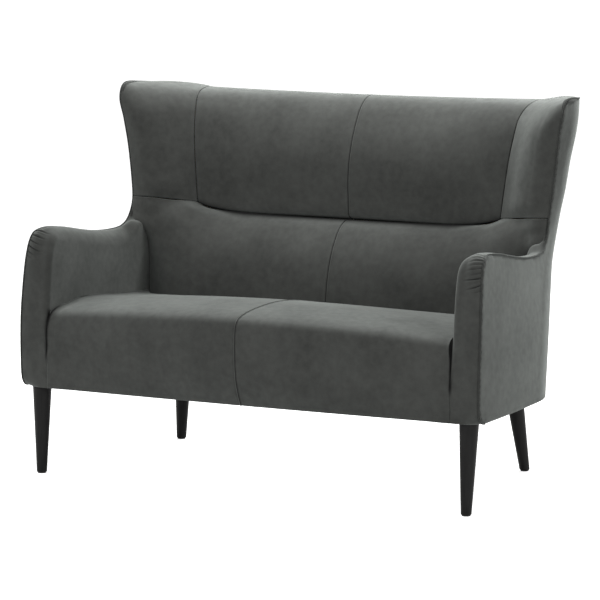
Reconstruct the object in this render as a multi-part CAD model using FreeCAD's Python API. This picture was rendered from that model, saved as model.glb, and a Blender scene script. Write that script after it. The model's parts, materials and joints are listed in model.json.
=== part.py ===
import FreeCAD, Part
import math
import os

# Two-seater sofa with wings: upholstered shell on four turned legs.
# Lengths are millimetres. X runs across, Y runs back from the line of the front feet, Z runs up.
# Every piece is moved at the end so that the origin lies on the floor under the middle of the sofa.
V = FreeCAD.Vector
os.makedirs("parts", exist_ok=True)

# Overall sizes
half_width = 663.0
body_bottom = 235.0
wing_top = 1007.0
seat_top = 479.0
arm_top = 649.0
seat_front_reach = 66.0
arm_front_reach = 26.0
back_foot_y = 650.0
back_lean_run = 147.0
body_height = wing_top - body_bottom

# Clearances, and the overrun of a cutting shape past what it cuts
seat_gap = 0.3
bolt_gap = 0.2
overrun = 40.0

# A quarter turn, and the share of a radius that the middle of a quarter turn lies out on each side
quarter_turn = math.radians(90.0)
quarter_middle = math.sqrt(0.5)

# Outer shell: plan sections up its height, with half widths and rear corner radius as shares
panel_thick = 10.0
rear_corner_radius = 300.0
side_bow = 5.0
rear_seam_in = 193.0
back_panel_drop = 47.0
back_panel_ear_rise = 17.0
shell_height_share = (0.0, 0.27, 0.43, 0.525, 0.59, 0.67, 0.79, 0.87, 0.955, 1.04)
shell_side_share = (0.998, 0.983, 0.961, 0.940, 0.944, 0.955, 0.976, 0.991, 1.002, 1.0)
shell_front_share = (0.993, 0.998, 0.995, 0.990, 0.860, 0.860, 0.820, 0.840, 0.930, 0.950)
shell_corner_share = (1.0, 0.97, 0.87, 0.673, 0.645, 0.627, 0.677, 0.687, 0.733, 0.750)
room_height_share = (0.0, 0.43, 0.525, 0.59, 0.79, 0.955, 1.04)
shell_steps = 13
side_parts = 3
corner_parts = 8
outline_parts = 4
pad_parts = 3

# Side outline, seen along X: arm front, arm top, wing front and wing top
low_corner_radius = 36.0
arm_front_lean = 22.0
arm_front_bow = 5.5
arm_corner_radius = 65.0
arm_dip = 32.0
arm_dip_y = 325.0
arm_slope_start_y = 250.0
arm_slope_rise = 7.0
arm_slope_bow_share = 0.75
arm_heel_y = 400.0
arm_heel_rise = 2.0
wing_front_y = 506.0
wing_front_bow = 9.0
wing_foot_z = 680.0
wing_foot_bow_share = (0.75, 0.20)
wing_tip_radius = 42.0
wing_top_fall = 17.0
wing_top_bow_share = 0.35
wing_rear_y = 745.0
wing_rear_fall = 31.0

# Arms
arm_wide = 80.0
arm_rear_y = 505.0
arm_roll_radius = 30.0
arm_roll_steps = 3
arm_sheet_thick = 17.0
edge_foam = 20.0

# Seat and the bottom of the lower back. The profile's places are shares of the seat's height,
# measured back from its front and down from its top.
seat_crown_y = 150.0
seat_crevice_y = 457.0
seat_end_y = 500.0
seat_rear_fall = 52.0
seat_rear_fall_side = 34.0
seat_rear_bow_share = 0.25
seat_side_drop = 23.0
seat_side_set_back = 44.0
seat_side_round = 9.0
seat_front_foot_set_back = 34.0
seat_front_bow = 3.0
seat_front_low_share = (0.66, 0.25)
seat_front_share = 0.51
seat_roll_foot_share = (0.008, 0.283)
seat_roll_middle_share = (0.082, 0.139)
seat_roll_head_share = (0.234, 0.074)
seat_slope_share = (0.463, 0.025)
seat_across_share = (0.0, 0.18, 0.36, 0.54, 0.70, 0.83, 0.92, 0.975, 0.993, 1.0)
seat_round_start_share = 0.965

# Lower back. Depths are shares of the way from crevice to crease: in the middle, and how much each
# one changes at the ends. Heights are shares of the way from the seat's underside to the crease.
crease_y = 605.0
crease_z = 657.0
crease_rise = 35.0
lower_back_end_in = 50.0
lower_back_steps = 6
lower_back_middle_share = (0.000, 0.000, 0.095, 0.324, 0.615, 1.000)
lower_back_turn_share = (0.300, 0.310, 0.205, -0.030, -0.330, -0.700)
lower_back_height_share = (0.0, 0.30, 0.56, 0.785, 0.93, 1.0)

# Upper back. Depths are shares of the way from waist to ridge, heights of the way from foot to ridge.
wing_wide_low = 207.0
wing_wide_high = 163.0
seam_bottom_z = 676.0
seam_top_drop = 22.0
upper_back_foot_z = 645.0
upper_back_waist_y = 594.0
back_ridge_y = 744.0
back_ridge_drop = 26.0
back_lip_drop = 19.0
back_lip_in = 1.0
back_lip_roll_share = (0.6, 0.24)
upper_back_steps = 4
upper_back_middle_share = (0.150, 0.000, 0.275, 0.540, 1.000)
upper_back_turn_share = (-0.257, -0.060, -0.208, -0.300, -0.320)
upper_back_height_share = (0.0, 0.30, 0.70, 0.895, 1.0)

# Wings: heights as shares of the body, half widths where the front face ends and where the slanted
# inner face starts, the depth of that start behind the wing front, and the depth at the back seam.
wing_depth = 239.0
wing_steps = 9
wing_height_share = (0.571, 0.610, 0.706, 0.823, 0.900, 0.946, 0.978, 1.010)
wing_face_share = (0.871, 0.872, 0.880, 0.908, 0.938, 0.972, 0.990, 0.996)
wing_slant_share = (0.826, 0.827, 0.834, 0.860, 0.899, 0.943, 0.973, 0.988)
wing_slant_depth_share = (0.087, 0.088, 0.090, 0.098, 0.100, 0.120, 0.220, 0.390)
wing_seam_depth_share = (0.312, 0.318, 0.343, 0.397, 0.481, 0.628, 0.880, 1.080)
wing_knuckle_share = (0.62, 0.30)
wing_hollow_share = 0.014

# Frame timber and ply
frame_lift = 3.0
frame_front_y = edge_foam - arm_front_reach
ply_thick = 16.0
upright_thick = 22.0
rail_thick = 28.0
board_thick = 22.0
front_rail_high = 100.0
rear_rail_high = 100.0
rear_rail_deep = 36.0
side_rail_wide = 58.0
side_rail_in_share = 0.8
side_rail_high = 52.0
deck_rail_high = 48.0
upright_in = 201.0
support_gap = 2.1
frame_gap = 4.0
frame_knee_y = 530.0
frame_knee_z = 440.0
frame_waist_y = 650.0
frame_waist_z = 655.0
frame_head_y = 742.0
frame_head_drop = 52.0
wing_board_thick = 18.0
wing_room_slant = 10.0
wing_board_slant_share = 0.95
wing_board_height_share = (0.343, 0.500, 0.720, 0.933)
wing_board_free_x_share = (0.905, 0.893, 0.914, 0.944)
wing_board_free_y_share = (0.675, 0.698, 0.710, 0.735)
arm_side_rear_y = 490.0
arm_side_border = 40.0
arm_window_radius = 35.0
mid_rail_high = 60.0
top_rail_high = 50.0
corner_block_side = 60.0
slot_radius = 28.0
slot_foot_z = 300.0
slot_head_z = 460.0

# Springing: elastic webbing and the cloth over it
web_wide = 60.0
web_thick = 1.5
web_count_long = 7
web_pitch_long = 155.0
web_count_cross = 4
web_pitch_cross = 115.0
web_end_in = 4.0
cloth_thick = 1.0
back_web_low_share = (0.27, 0.73)
back_web_high_share = (0.167, 0.389, 0.611, 0.833)

# Legs
leg_top_radius = 25.5
leg_foot_radius = 13.5
leg_foot_round = 2.0
leg_sides = 24
front_foot_in = 45.0
front_foot_y = 0.0
front_leg_top_in = 43.0
front_leg_top_y = 10.5
rear_foot_in = 139.0
rear_foot_y = 602.0
rear_leg_top_in = 163.0
rear_leg_top_y = 573.0
glide_thick = 3.0
glide_radius = 11.0
bolt_radius = 4.0
bolt_sides = 12
bolt_in_leg = 30.0
bolt_in_rail = 36.0
leg_plate_radius = 16.5
rear_block_deep = 120.0
rear_block_facets = 6
side_rail_taper_share = 0.15
dust_cloth_thick = 1.2
dust_cloth_inset = 14.0

# Places worked out from the sizes above
arm_inner_x = half_width - arm_wide
arm_ply_x = arm_inner_x + arm_sheet_thick
rear_seam_x = half_width - rear_seam_in
seam_bottom_x = half_width - wing_wide_low
seam_top_x = half_width - wing_wide_high
lower_back_half = half_width - lower_back_end_in
upright_inner_x = half_width - upright_in
front_foot_x = half_width - front_foot_in
front_leg_top_x = half_width - front_leg_top_in
rear_foot_x = half_width - rear_foot_in
rear_leg_top_x = half_width - rear_leg_top_in
back_ridge_top = wing_top - back_ridge_drop
back_panel_top = wing_top - back_panel_drop
seam_top_z = wing_top - seam_top_drop
frame_head_z = wing_top - frame_head_drop
rail_foot_z = body_bottom + frame_lift
deck_z = rail_foot_z + front_rail_high
support_z = deck_z + 2.0 * (web_thick + seat_gap)
pad_foot_z = support_z + cloth_thick + 2.0 * seat_gap
shell_back_y = back_foot_y + back_lean_run
origin_y = (back_foot_y + back_lean_run * (back_panel_top + back_panel_ear_rise - body_bottom)
            / body_height - seat_front_reach) / 2.0


def line(a, b):
    return Part.makeLine(a, b)


def arc(a, via, b):
    return Part.Arc(a, via, b).toShape()


def path(start, *steps, parts=1):
    """Joins lines (one point a step) and arcs (a via point and an end point a step).

    With more parts, each arc is that many flat runs between points that lie on it."""
    edges = []
    here = start
    for step in steps:
        if len(step) == 1:
            edges.append(line(here, step[0]))
        elif parts == 1:
            edges.append(arc(here, step[0], step[1]))
        else:
            edges.extend(flat_runs(here, step[0], step[1], parts))
        here = step[-1]
    return Part.Wire(edges)


def flat_runs(a, via, b, parts):
    """Flat runs between evenly spaced points of the arc from a to b."""
    pts = arc(a, via, b).discretize(parts + 1)
    if pts[0].distanceToPoint(a) > pts[-1].distanceToPoint(a):
        pts.reverse()
    pts[0] = a
    pts[-1] = b
    return [line(p, q) for p, q in zip(pts, pts[1:])]


def box(x0, x1, y0, y1, z0, z1):
    return Part.makeBox(x1 - x0, y1 - y0, z1 - z0, V(x0, y0, z0))


def mirrored(shape):
    return shape.mirror(V(0, 0, 0), V(1, 0, 0))


def between(a, b, share):
    return a + (b - a) * share


def middle(a, b):
    return (a + b) / 2.0


def save(name, shape):
    """Moves a piece to the sofa's own origin and writes it."""
    placed = shape.removeSplitter()
    placed.translate(V(0, -origin_y, 0))
    placed.exportStep("parts/" + name + ".step")


def save_pair(name, right_shape):
    save("right_" + name, right_shape)
    save("left_" + name, mirrored(right_shape))


def eased(places, values, at):
    """Value of a table between its rows, on a smooth curve that never overshoots them."""
    last = len(places) - 1
    row = max(i for i in range(last) if places[i] <= at or i == 0)

    def slope(k):
        rises = [(values[i + 1] - values[i]) / (places[i + 1] - places[i])
                 for i in (k - 1, k) if 0 <= i < last]
        if len(rises) == 1:
            return rises[0]
        if rises[0] * rises[1] <= 0:
            return 0.0
        return 2.0 * rises[0] * rises[1] / (rises[0] + rises[1])

    span = places[row + 1] - places[row]
    t = (at - places[row]) / span
    bend = (slope(row) * (1.0 - t) - slope(row + 1) * t) * span
    step = t * t * (3.0 - 2.0 * t)
    return between(values[row], values[row + 1], step) + t * (1.0 - t) * bend


def back_y(z):
    """Y of the outside of the back, which leans."""
    return back_foot_y + back_lean_run * (z - body_bottom) / body_height


def shell_row(z):
    """Half width at the corner, half width in front and corner radius of the body at one height."""
    share = (z - body_bottom) / body_height
    side = half_width * eased(shell_height_share, shell_side_share, share)
    front = half_width * eased(shell_height_share, shell_front_share, share)
    radius = rear_corner_radius * eased(shell_height_share, shell_corner_share, share)
    return side, front, radius


def shell_section(z, inset):
    """Plan outline of the body at one height, with both rear corners rounded."""
    side, front, radius = shell_row(z)
    rear = back_y(z)
    centre_x = side - radius
    centre_y = rear - radius
    turn = (radius - inset) * quarter_middle
    front_y = -seat_front_reach - overrun
    bow_x = middle(side, front) + side_bow - inset
    bow_y = middle(front_y, centre_y)
    fr = V(front - inset, front_y, z)
    sr = V(side - inset, centre_y, z)
    cr = V(centre_x, rear - inset, z)
    fl = V(-fr.x, fr.y, z)
    sl = V(-sr.x, sr.y, z)
    cl = V(-cr.x, cr.y, z)
    return Part.Wire(
        flat_runs(fr, V(bow_x, bow_y, z), sr, side_parts)
        + flat_runs(sr, V(centre_x + turn, centre_y + turn, z), cr, corner_parts)
        + [line(cr, cl)]
        + flat_runs(cl, V(-centre_x - turn, centre_y + turn, z), sl, corner_parts)
        + flat_runs(sl, V(-bow_x, bow_y, z), fl, side_parts)
        + [line(fl, fr)]
    )


def shell_block(inset, height_shares):
    """Solid body inside the outer surface, drawn in by the inset."""
    heights = [body_bottom + body_height * share for share in height_shares]
    return Part.makeLoft([shell_section(z, inset) for z in heights], True, True)


def outer_block(inset):
    """The body in the small steps that its outside needs."""
    top_share = shell_height_share[-1]
    return shell_block(inset, [top_share * i / shell_steps for i in range(shell_steps + 1)])


def room_row(z):
    """Like shell_row, on the straight runs of the room behind the panels."""
    share = (z - body_bottom) / body_height
    row = max(i for i in range(len(room_height_share) - 1) if room_height_share[i] <= share)
    low, high = room_height_share[row:row + 2]
    low_row = shell_row(body_bottom + body_height * low)
    high_row = shell_row(body_bottom + body_height * high)
    return [between(a, b, (share - low) / (high - low)) for a, b in zip(low_row, high_row)]


def inside_y(x, z):
    """Y that a timber at one X can reach behind the panels."""
    side, _, radius = room_row(z)
    reach = radius - panel_thick - frame_gap
    away = max(x - side + radius, 0.0)
    return back_y(z) - radius + math.sqrt(reach ** 2 - away ** 2)


def inside_corner(z, share):
    """Point that a timber can reach at a share of the rear corner's quarter turn."""
    side, _, radius = room_row(z)
    reach = radius - panel_thick - frame_gap
    angle = quarter_turn * share
    return V(side - radius + reach * math.cos(angle), back_y(z) - radius + reach * math.sin(angle), z)


def side_wire(inset, x):
    """Side outline drawn in by the inset, in the plane of one X."""
    front = inset - arm_front_reach
    low_y = low_corner_radius - arm_front_reach
    low_z = body_bottom + low_corner_radius
    low_round = (low_corner_radius - inset) * quarter_middle
    arm_round = arm_corner_radius - inset
    arm_turn = arm_round * quarter_middle
    lean_y = front + arm_front_lean
    corner_y = lean_y + arm_round
    corner_z = arm_top - arm_corner_radius
    crest_z = arm_top - inset
    dip_z = crest_z - arm_dip
    slope_z = dip_z + arm_slope_rise
    heel_z = dip_z + arm_heel_rise
    wing_y = wing_front_y + inset
    tip_round = wing_tip_radius - inset
    tip_turn = tip_round * quarter_middle
    tip_y = wing_front_y + wing_tip_radius
    tip_z = wing_top - wing_tip_radius
    top_z = wing_top - inset
    rear_z = top_z - wing_rear_fall
    far_y = shell_back_y + overrun
    foot_z = body_bottom + inset
    foot_bow_y, foot_bow_z = wing_foot_bow_share
    return path(
        V(x, low_y, foot_z),
        (V(x, low_y - low_round, low_z - low_round), V(x, front, low_z)),
        (V(x, front + arm_front_bow, middle(low_z, corner_z)), V(x, lean_y, corner_z)),
        (V(x, corner_y - arm_turn, corner_z + arm_turn), V(x, corner_y, crest_z)),
        (V(x, middle(corner_y, arm_slope_start_y), between(slope_z, crest_z, arm_slope_bow_share)),
         V(x, arm_slope_start_y, slope_z)),
        (V(x, arm_dip_y, dip_z), V(x, arm_heel_y, heel_z)),
        (V(x, between(arm_heel_y, wing_y, foot_bow_y), between(heel_z, wing_foot_z, foot_bow_z)),
         V(x, wing_y, wing_foot_z)),
        (V(x, wing_y + wing_front_bow, middle(wing_foot_z, tip_z)), V(x, wing_y, tip_z)),
        (V(x, tip_y - tip_turn, tip_z + tip_turn), V(x, tip_y, top_z)),
        (V(x, middle(tip_y, wing_rear_y), top_z - wing_top_fall * wing_top_bow_share),
         V(x, wing_rear_y, top_z - wing_top_fall)),
        (V(x, shell_back_y, rear_z),),
        (V(x, far_y, rear_z),),
        (V(x, far_y, foot_z),),
        (V(x, low_y, foot_z),),
        parts=outline_parts,
    )


def side_prism(inset, x0, x1):
    """The side outline pushed across from x0 to x1."""
    return Part.Face(side_wire(inset, x0)).extrude(V(x1 - x0, 0, 0))


def frame_zone():
    """Room inside the padding of the arm's front and top, open below."""
    inner_x = arm_ply_x - seat_gap
    outer_x = half_width + overrun
    room = side_prism(edge_foam, inner_x, outer_x)
    foot = box(inner_x, outer_x, frame_front_y - seat_gap, shell_back_y,
               body_bottom - overrun, side_rail_top_z + seat_gap)
    return room.fuse(foot)


def frame_line_y(z):
    """Y of the front of the back frame: upright below the knee, then leaning twice."""
    if z <= frame_knee_z:
        return frame_knee_y
    if z <= frame_waist_z:
        share = (z - frame_knee_z) / (frame_waist_z - frame_knee_z)
        return between(frame_knee_y, frame_waist_y, share)
    share = (z - frame_waist_z) / (frame_head_z - frame_waist_z)
    return between(frame_waist_y, frame_head_y, share)


def seam_x(z):
    """X of the upright seam between the wing and the back."""
    share = (z - seam_bottom_z) / (seam_top_z - seam_bottom_z)
    return between(seam_bottom_x, seam_top_x, share)


def soft_path(start, *steps):
    """Outline of a padded form, its bends in a few flat runs."""
    return path(start, *steps, parts=pad_parts)


def lower_back_section(share):
    """Section at a share of the half width; the ends turn with the fourth power of the share."""
    x = lower_back_half * share
    turn = share ** 4
    top_z = crease_z + crease_rise * share ** 2
    depths = [between(seat_crevice_y, crease_y, start + change * turn)
              for start, change in zip(lower_back_middle_share, lower_back_turn_share)]
    heights = [between(pad_foot_z, top_z, height) for height in lower_back_height_share]
    pts = [V(x, y, z) for y, z in zip(depths, heights)]
    return soft_path(
        pts[0],
        (pts[1],),
        (pts[2], pts[3]),
        (pts[4], pts[5]),
        (V(x, frame_line_y(top_z) - support_gap, top_z),),
        (V(x, frame_waist_y - support_gap, frame_waist_z),),
        (V(x, frame_knee_y - support_gap, frame_knee_z),),
        (V(x, frame_knee_y - support_gap, pad_foot_z),),
        (pts[0],),
    )


def lower_back_form():
    """Bulging roll over the seat, with ends that turn into the wings above the arms."""
    steps = range(-lower_back_steps, lower_back_steps + 1)
    sections = [lower_back_section(i / lower_back_steps) for i in steps]
    return Part.makeLoft(sections, True, True)


def upper_back_section(share):
    """Section at a share of the way to the wing seam, hollow across by the square of the share."""
    depths = [between(upper_back_waist_y, back_ridge_y, start + change * share ** 2)
              for start, change in zip(upper_back_middle_share, upper_back_turn_share)]
    heights = [between(upper_back_foot_z, back_ridge_top, s) for s in upper_back_height_share]

    def at(y, z):
        return V(share * seam_x(z), y, z)

    pts = [at(y, z) for y, z in zip(depths, heights)]
    lip_z = back_ridge_top - back_lip_drop
    lip_y = back_y(lip_z) - back_lip_in
    roll_y_share, roll_z_share = back_lip_roll_share
    roll = at(between(depths[4], lip_y, roll_y_share), back_ridge_top - back_lip_drop * roll_z_share)
    head = at(frame_line_y(frame_head_z) - support_gap, frame_head_z + seat_gap)
    return soft_path(
        pts[0],
        (pts[1], pts[2]),
        (pts[3], pts[4]),
        (roll, at(lip_y, lip_z)),
        (at(lip_y, frame_head_z + seat_gap),),
        (head,),
        (at(frame_waist_y - support_gap, frame_waist_z),),
        (at(frame_line_y(upper_back_foot_z) - support_gap, upper_back_foot_z),),
        (pts[0],),
    )


def upper_back_form():
    steps = range(-upper_back_steps, upper_back_steps + 1)
    return Part.makeLoft([upper_back_section(i / upper_back_steps) for i in steps], True, True)


def wing_section(share):
    """Plan of the wing's padding at one height: rounded front face, knuckle and slanted inner face."""
    z = body_bottom + body_height * share
    out_x = half_width + overrun
    out_y = shell_back_y + overrun
    front_y = wing_front_y - wing_front_bow
    face_x = half_width * eased(wing_height_share, wing_face_share, share)
    slant_x = half_width * eased(wing_height_share, wing_slant_share, share)
    slant_y = wing_front_y + wing_depth * eased(wing_height_share, wing_slant_depth_share, share)
    root_y = wing_front_y + wing_depth * eased(wing_height_share, wing_seam_depth_share, share)
    face = V(face_x, front_y, z)
    slant = V(slant_x, slant_y, z)
    root = V(seam_x(z) + seat_gap, root_y, z)
    across_share, back_share = wing_knuckle_share
    knuckle = V(between(face.x, slant.x, across_share), between(face.y, slant.y, back_share), z)
    hollow = between(slant, root, 0.5) + V(0, wing_depth * wing_hollow_share, 0)
    return soft_path(
        root,
        (hollow, slant),
        (knuckle, face),
        (V(out_x, front_y, z),),
        (V(out_x, out_y, z),),
        (V(root.x, out_y, z),),
        (root,),
    )


def wing_form():
    low = wing_height_share[0]
    high = wing_height_share[-1]
    shares = [between(low, high, i / wing_steps) for i in range(wing_steps + 1)]
    return Part.makeLoft([wing_section(share) for share in shares], True, True)


def wing_board_form(grow, whole_room):
    """Bent board behind the wing's padding, or the whole room behind its face."""
    rows = zip(wing_board_height_share, wing_board_free_x_share, wing_board_free_y_share)
    root_x = upright_inner_x + upright_thick
    sections = []
    for height_share, free_x_share, free_y_share in rows:
        z = body_bottom + body_height * height_share
        free = V(half_width * free_x_share, shell_back_y * free_y_share - grow, z)
        root = V(root_x, free.y + (free.x - root_x) * wing_board_slant_share, z)
        run = free - root
        run.normalize()
        back = V(-run.y, run.x, 0)
        if whole_room:
            inner = V(seam_bottom_x - overrun, root.y, z)
            outer = V(half_width + overrun, free.y + wing_room_slant, z)
            far_r = V(half_width + overrun, shell_back_y + overrun, z)
            far_l = V(seam_bottom_x - overrun, shell_back_y + overrun, z)
            sections.append(path(inner, (root,), (free,), (outer,), (far_r,), (far_l,), (inner,)))
        else:
            root_back = V(root_x, root.y + wing_board_thick / back.y, z)
            free_back = free + back * wing_board_thick
            sections.append(path(root, (free,), (free_back,), (root_back,), (root,)))
    return Part.makeLoft(sections, True, True)


def seat_section(share):
    """Closed outline of the seat at a share of its half width: crowned, and drawn in at the arms."""
    x = seat_half * share
    crown = 1.0 - share ** 2
    late = max(share - seat_round_start_share, 0.0) / (1.0 - seat_round_start_share)
    draw = seat_side_round * (1.0 - math.sqrt(1.0 - late ** 2))
    top = seat_top - seat_side_drop * (1.0 - crown) - draw
    front = -seat_front_reach + seat_side_set_back * (1.0 - crown) + draw
    foot = front + seat_front_foot_set_back * crown
    swell = seat_top - body_bottom
    fall = between(seat_rear_fall_side, seat_rear_fall, crown)
    rail_y = frame_front_y - seat_gap

    def at(back_share, down_share):
        return V(x, front + swell * back_share, top - swell * down_share)

    low_share, low_height_share = seat_front_low_share
    return soft_path(
        V(x, foot, body_bottom),
        (V(x, between(foot, front, low_share) - seat_front_bow, body_bottom + swell * low_height_share),
         V(x, front, body_bottom + swell * seat_front_share)),
        (at(*seat_roll_foot_share),),
        (at(*seat_roll_middle_share), at(*seat_roll_head_share)),
        (at(*seat_slope_share), V(x, seat_crown_y, top)),
        (V(x, middle(seat_crown_y, seat_end_y), top - fall * seat_rear_bow_share),
         V(x, seat_end_y, top - fall)),
        (V(x, seat_end_y, pad_foot_z),),
        (V(x, rail_y, pad_foot_z),),
        (V(x, rail_y, body_bottom),),
        (V(x, foot, body_bottom),),
    )


def seat_form():
    """Crowned cushion with its front roll, drawn in at both ends."""
    shares = [-share for share in reversed(seat_across_share[1:])] + list(seat_across_share)
    return Part.makeLoft([seat_section(share) for share in shares], True, True)


def arm_form():
    """Right arm with its inner edge rolled, before the frame is let in."""
    wires = []
    for i in range(arm_roll_steps + 1):
        angle = quarter_turn * i / arm_roll_steps
        inset = arm_roll_radius * (1.0 - math.sin(angle))
        wires.append(side_wire(inset, arm_inner_x + arm_roll_radius * (1.0 - math.cos(angle))))
    roll = Part.makeLoft(wires, True, True)
    rest = side_prism(0.0, arm_inner_x + arm_roll_radius, half_width + overrun)
    return roll.fuse(rest)


def upright_profile(x):
    """Face of a back upright in the plane X = 0; x is the side it stands nearest the shell."""
    rows = [body_bottom + body_height * share for share in room_height_share]
    heights = [rail_foot_z] + [z for z in rows if rail_foot_z < z < frame_head_z] + [frame_head_z]
    points = [
        V(0, frame_knee_y, rail_foot_z),
        V(0, frame_knee_y, frame_knee_z),
        V(0, frame_waist_y, frame_waist_z),
        V(0, frame_head_y, frame_head_z),
    ]
    points += [V(0, inside_y(x, z), z) for z in reversed(heights)]
    return Part.Face(Part.makePolygon(points + points[:1]))


def upright_plate(x0, x1):
    """Plywood upright from the foot rail to the head rail, with its lightening slot."""
    face = upright_profile(x1)
    face.translate(V(x0, 0, 0))
    plate = face.extrude(V(x1 - x0, 0, 0))
    slot_y = middle(frame_knee_y, inside_y(x1, frame_knee_z))
    low = box(x0, x1, slot_y - slot_radius, slot_y + slot_radius, slot_foot_z, slot_head_z)
    for z in (slot_foot_z, slot_head_z):
        low = low.fuse(Part.makeCylinder(slot_radius, x1 - x0, V(x0, slot_y, z), V(1, 0, 0)))
    return plate.cut(low)


def leg_axis(foot, top):
    run = top - foot
    run.normalize()
    return run


def round_bar(start, axis, length, radius, sides):
    """Round bar along an axis, its outside in many flat sides."""
    across = axis.cross(V(0, 1, 0))
    across.normalize()
    ahead = axis.cross(across)
    angles = [quarter_turn * 4.0 * i / sides for i in range(sides)]
    points = [start + across * (radius * math.cos(a)) + ahead * (radius * math.sin(a)) for a in angles]
    return Part.Face(Part.makePolygon(points + points[:1])).extrude(axis * length)


def bolt(top, axis, gap):
    """Hanger bolt through the top of a leg, or with a gap the hole for it."""
    start = top - axis * (bolt_in_leg + gap)
    return round_bar(start, axis, bolt_in_leg + bolt_in_rail + 2.0 * gap, bolt_radius + gap, bolt_sides)


def leg_ring(foot, top, radius, z):
    """Level ring of many sides round the line from a leg's foot to its top."""
    centre = between(foot, top, z / top.z)
    angles = [quarter_turn * 4.0 * i / leg_sides for i in range(leg_sides)]
    points = [centre + V(radius * math.cos(a), radius * math.sin(a), 0) for a in angles]
    return Part.makePolygon(points + points[:1])


def leg(foot, top):
    """Tapered leg from its glide to the underside of the body, eased at the foot."""
    rings = [
        leg_ring(foot, top, leg_foot_radius - leg_foot_round, glide_thick),
        leg_ring(foot, top, leg_foot_radius, glide_thick + leg_foot_round),
        leg_ring(foot, top, leg_top_radius, body_bottom),
    ]
    return Part.makeLoft(rings, True, True).cut(bolt(top, leg_axis(foot, top), bolt_gap))


def glide(foot):
    return round_bar(V(foot.x, foot.y, 0), V(0, 0, 1), glide_thick, glide_radius, leg_sides)


front_foot = V(front_foot_x, front_foot_y, 0)
front_leg_top = V(front_leg_top_x, front_leg_top_y, body_bottom)
rear_foot = V(rear_foot_x, rear_foot_y, 0)
rear_leg_top = V(rear_leg_top_x, rear_leg_top_y, body_bottom)
front_axis = leg_axis(front_foot, front_leg_top)
rear_axis = leg_axis(rear_foot, rear_leg_top)
front_plate_y = frame_front_y + leg_plate_radius


def group(shapes):
    return Part.makeCompound(shapes)


def both(right_shapes):
    return list(right_shapes) + [mirrored(s) for s in right_shapes]


def leg_plate(x, y, top, axis):
    """Round steel plate between a leg and the frame."""
    plate = round_bar(V(x, y, body_bottom), V(0, 0, 1), frame_lift, leg_plate_radius, leg_sides)
    return plate.cut(bolt(top, axis, bolt_gap))


def leg_plates():
    front = leg_plate(front_leg_top_x, front_plate_y, front_leg_top, front_axis)
    rear = leg_plate(rear_leg_top_x, rear_leg_top_y, rear_leg_top, rear_axis)
    return both([front, rear])


# Edges of the timbers, shared by the pieces that meet there
front_rail_back_y = frame_front_y + rail_thick
side_rail_in_x = front_leg_top_x + rail_thick / 2.0 - side_rail_wide * side_rail_in_share
side_rail_top_z = rail_foot_z + side_rail_high
deck_rail_in_x = arm_ply_x - rail_thick
rear_block_y = rear_leg_top_y - rear_block_deep / 2.0
rear_deck_y = frame_knee_y - rail_thick
upright_outer_x = upright_inner_x + upright_thick
rear_rail_y = inside_y(0.0, rail_foot_z) - rear_rail_deep
room = shell_block(panel_thick + seat_gap, room_height_share)
seat_half = arm_inner_x - seat_gap


def front_rail():
    return box(-side_rail_in_x, side_rail_in_x, frame_front_y, front_rail_back_y, rail_foot_z, deck_z)


def rear_rail():
    """Rail across the back, its ends thinned where the shell turns in."""
    straight_x = inside_corner(rail_foot_z, 1.0).x
    back = [V(-upright_inner_x, inside_y(upright_inner_x, rail_foot_z), 0),
            V(-straight_x, inside_y(0.0, rail_foot_z), 0)]
    points = [V(upright_inner_x, rear_rail_y, 0), V(-upright_inner_x, rear_rail_y, 0)]
    points += back + [V(-p.x, p.y, 0) for p in reversed(back)]
    return prism_up(points, rail_foot_z, rail_foot_z + rear_rail_high)


def prism_up(points, z0, z1):
    """Timber with a plan outline of straight edges."""
    wire = Part.makePolygon([V(p.x, p.y, z0) for p in points + points[:1]])
    return Part.Face(wire).extrude(V(0, 0, z1 - z0))


def side_rail():
    """Rail under the arm that takes the front leg, tapered where the shell turns in."""
    outer_x = side_rail_in_x + side_rail_wide
    taper_start = inside_corner(rail_foot_z, side_rail_taper_share)
    outer_x = min(outer_x, taper_start.x)
    points = [
        V(side_rail_in_x, frame_front_y, 0),
        V(outer_x, frame_front_y, 0),
        V(outer_x, taper_start.y, 0),
        V(inside_corner_x(rear_block_y), rear_block_y, 0),
        V(side_rail_in_x, rear_block_y, 0),
    ]
    beam = prism_up(points, rail_foot_z, side_rail_top_z)
    return beam.cut(bolt(front_leg_top, front_axis, bolt_gap))


def inside_corner_x(y):
    """X that a timber of the foot frame can reach at one Y on the rear corner."""
    rear = inside_corner(rail_foot_z, 1.0)
    radius = inside_corner(rail_foot_z, 0.0).x - rear.x
    return rear.x + math.sqrt(radius ** 2 - (y - rear.y + radius) ** 2)


def rear_leg_block():
    """Corner block that takes the rear leg, cut to the turn of the shell."""
    points = [V(upright_outer_x, rear_block_y, 0), V(inside_corner_x(rear_block_y), rear_block_y, 0)]
    start = math.asin((rear_block_y - inside_corner(rail_foot_z, 0.0).y)
                      / (inside_corner(rail_foot_z, 1.0).y - inside_corner(rail_foot_z, 0.0).y))
    start_share = start / quarter_turn
    for i in range(1, rear_block_facets):
        point = inside_corner(rail_foot_z, between(start_share, 1.0, i / rear_block_facets))
        if point.x > upright_outer_x and point.y < rear_rail_y:
            points.append(point)
    points.append(V(upright_outer_x, min(rear_rail_y, inside_y(upright_outer_x, rail_foot_z)), 0))
    block = prism_up(points, rail_foot_z, side_rail_top_z)
    return block.cut(bolt(rear_leg_top, rear_axis, bolt_gap))


def deck_rail():
    beam = box(deck_rail_in_x, arm_ply_x, front_rail_back_y, frame_knee_y, side_rail_top_z, deck_z)
    return beam.common(room)


def rear_deck_rail():
    return box(-deck_rail_in_x, deck_rail_in_x, rear_deck_y, frame_knee_y, side_rail_top_z, deck_z)


def centre_rail():
    half = rail_thick / 2.0
    return box(-half, half, front_rail_back_y, rear_rail_y, rail_foot_z, side_rail_top_z)


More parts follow.
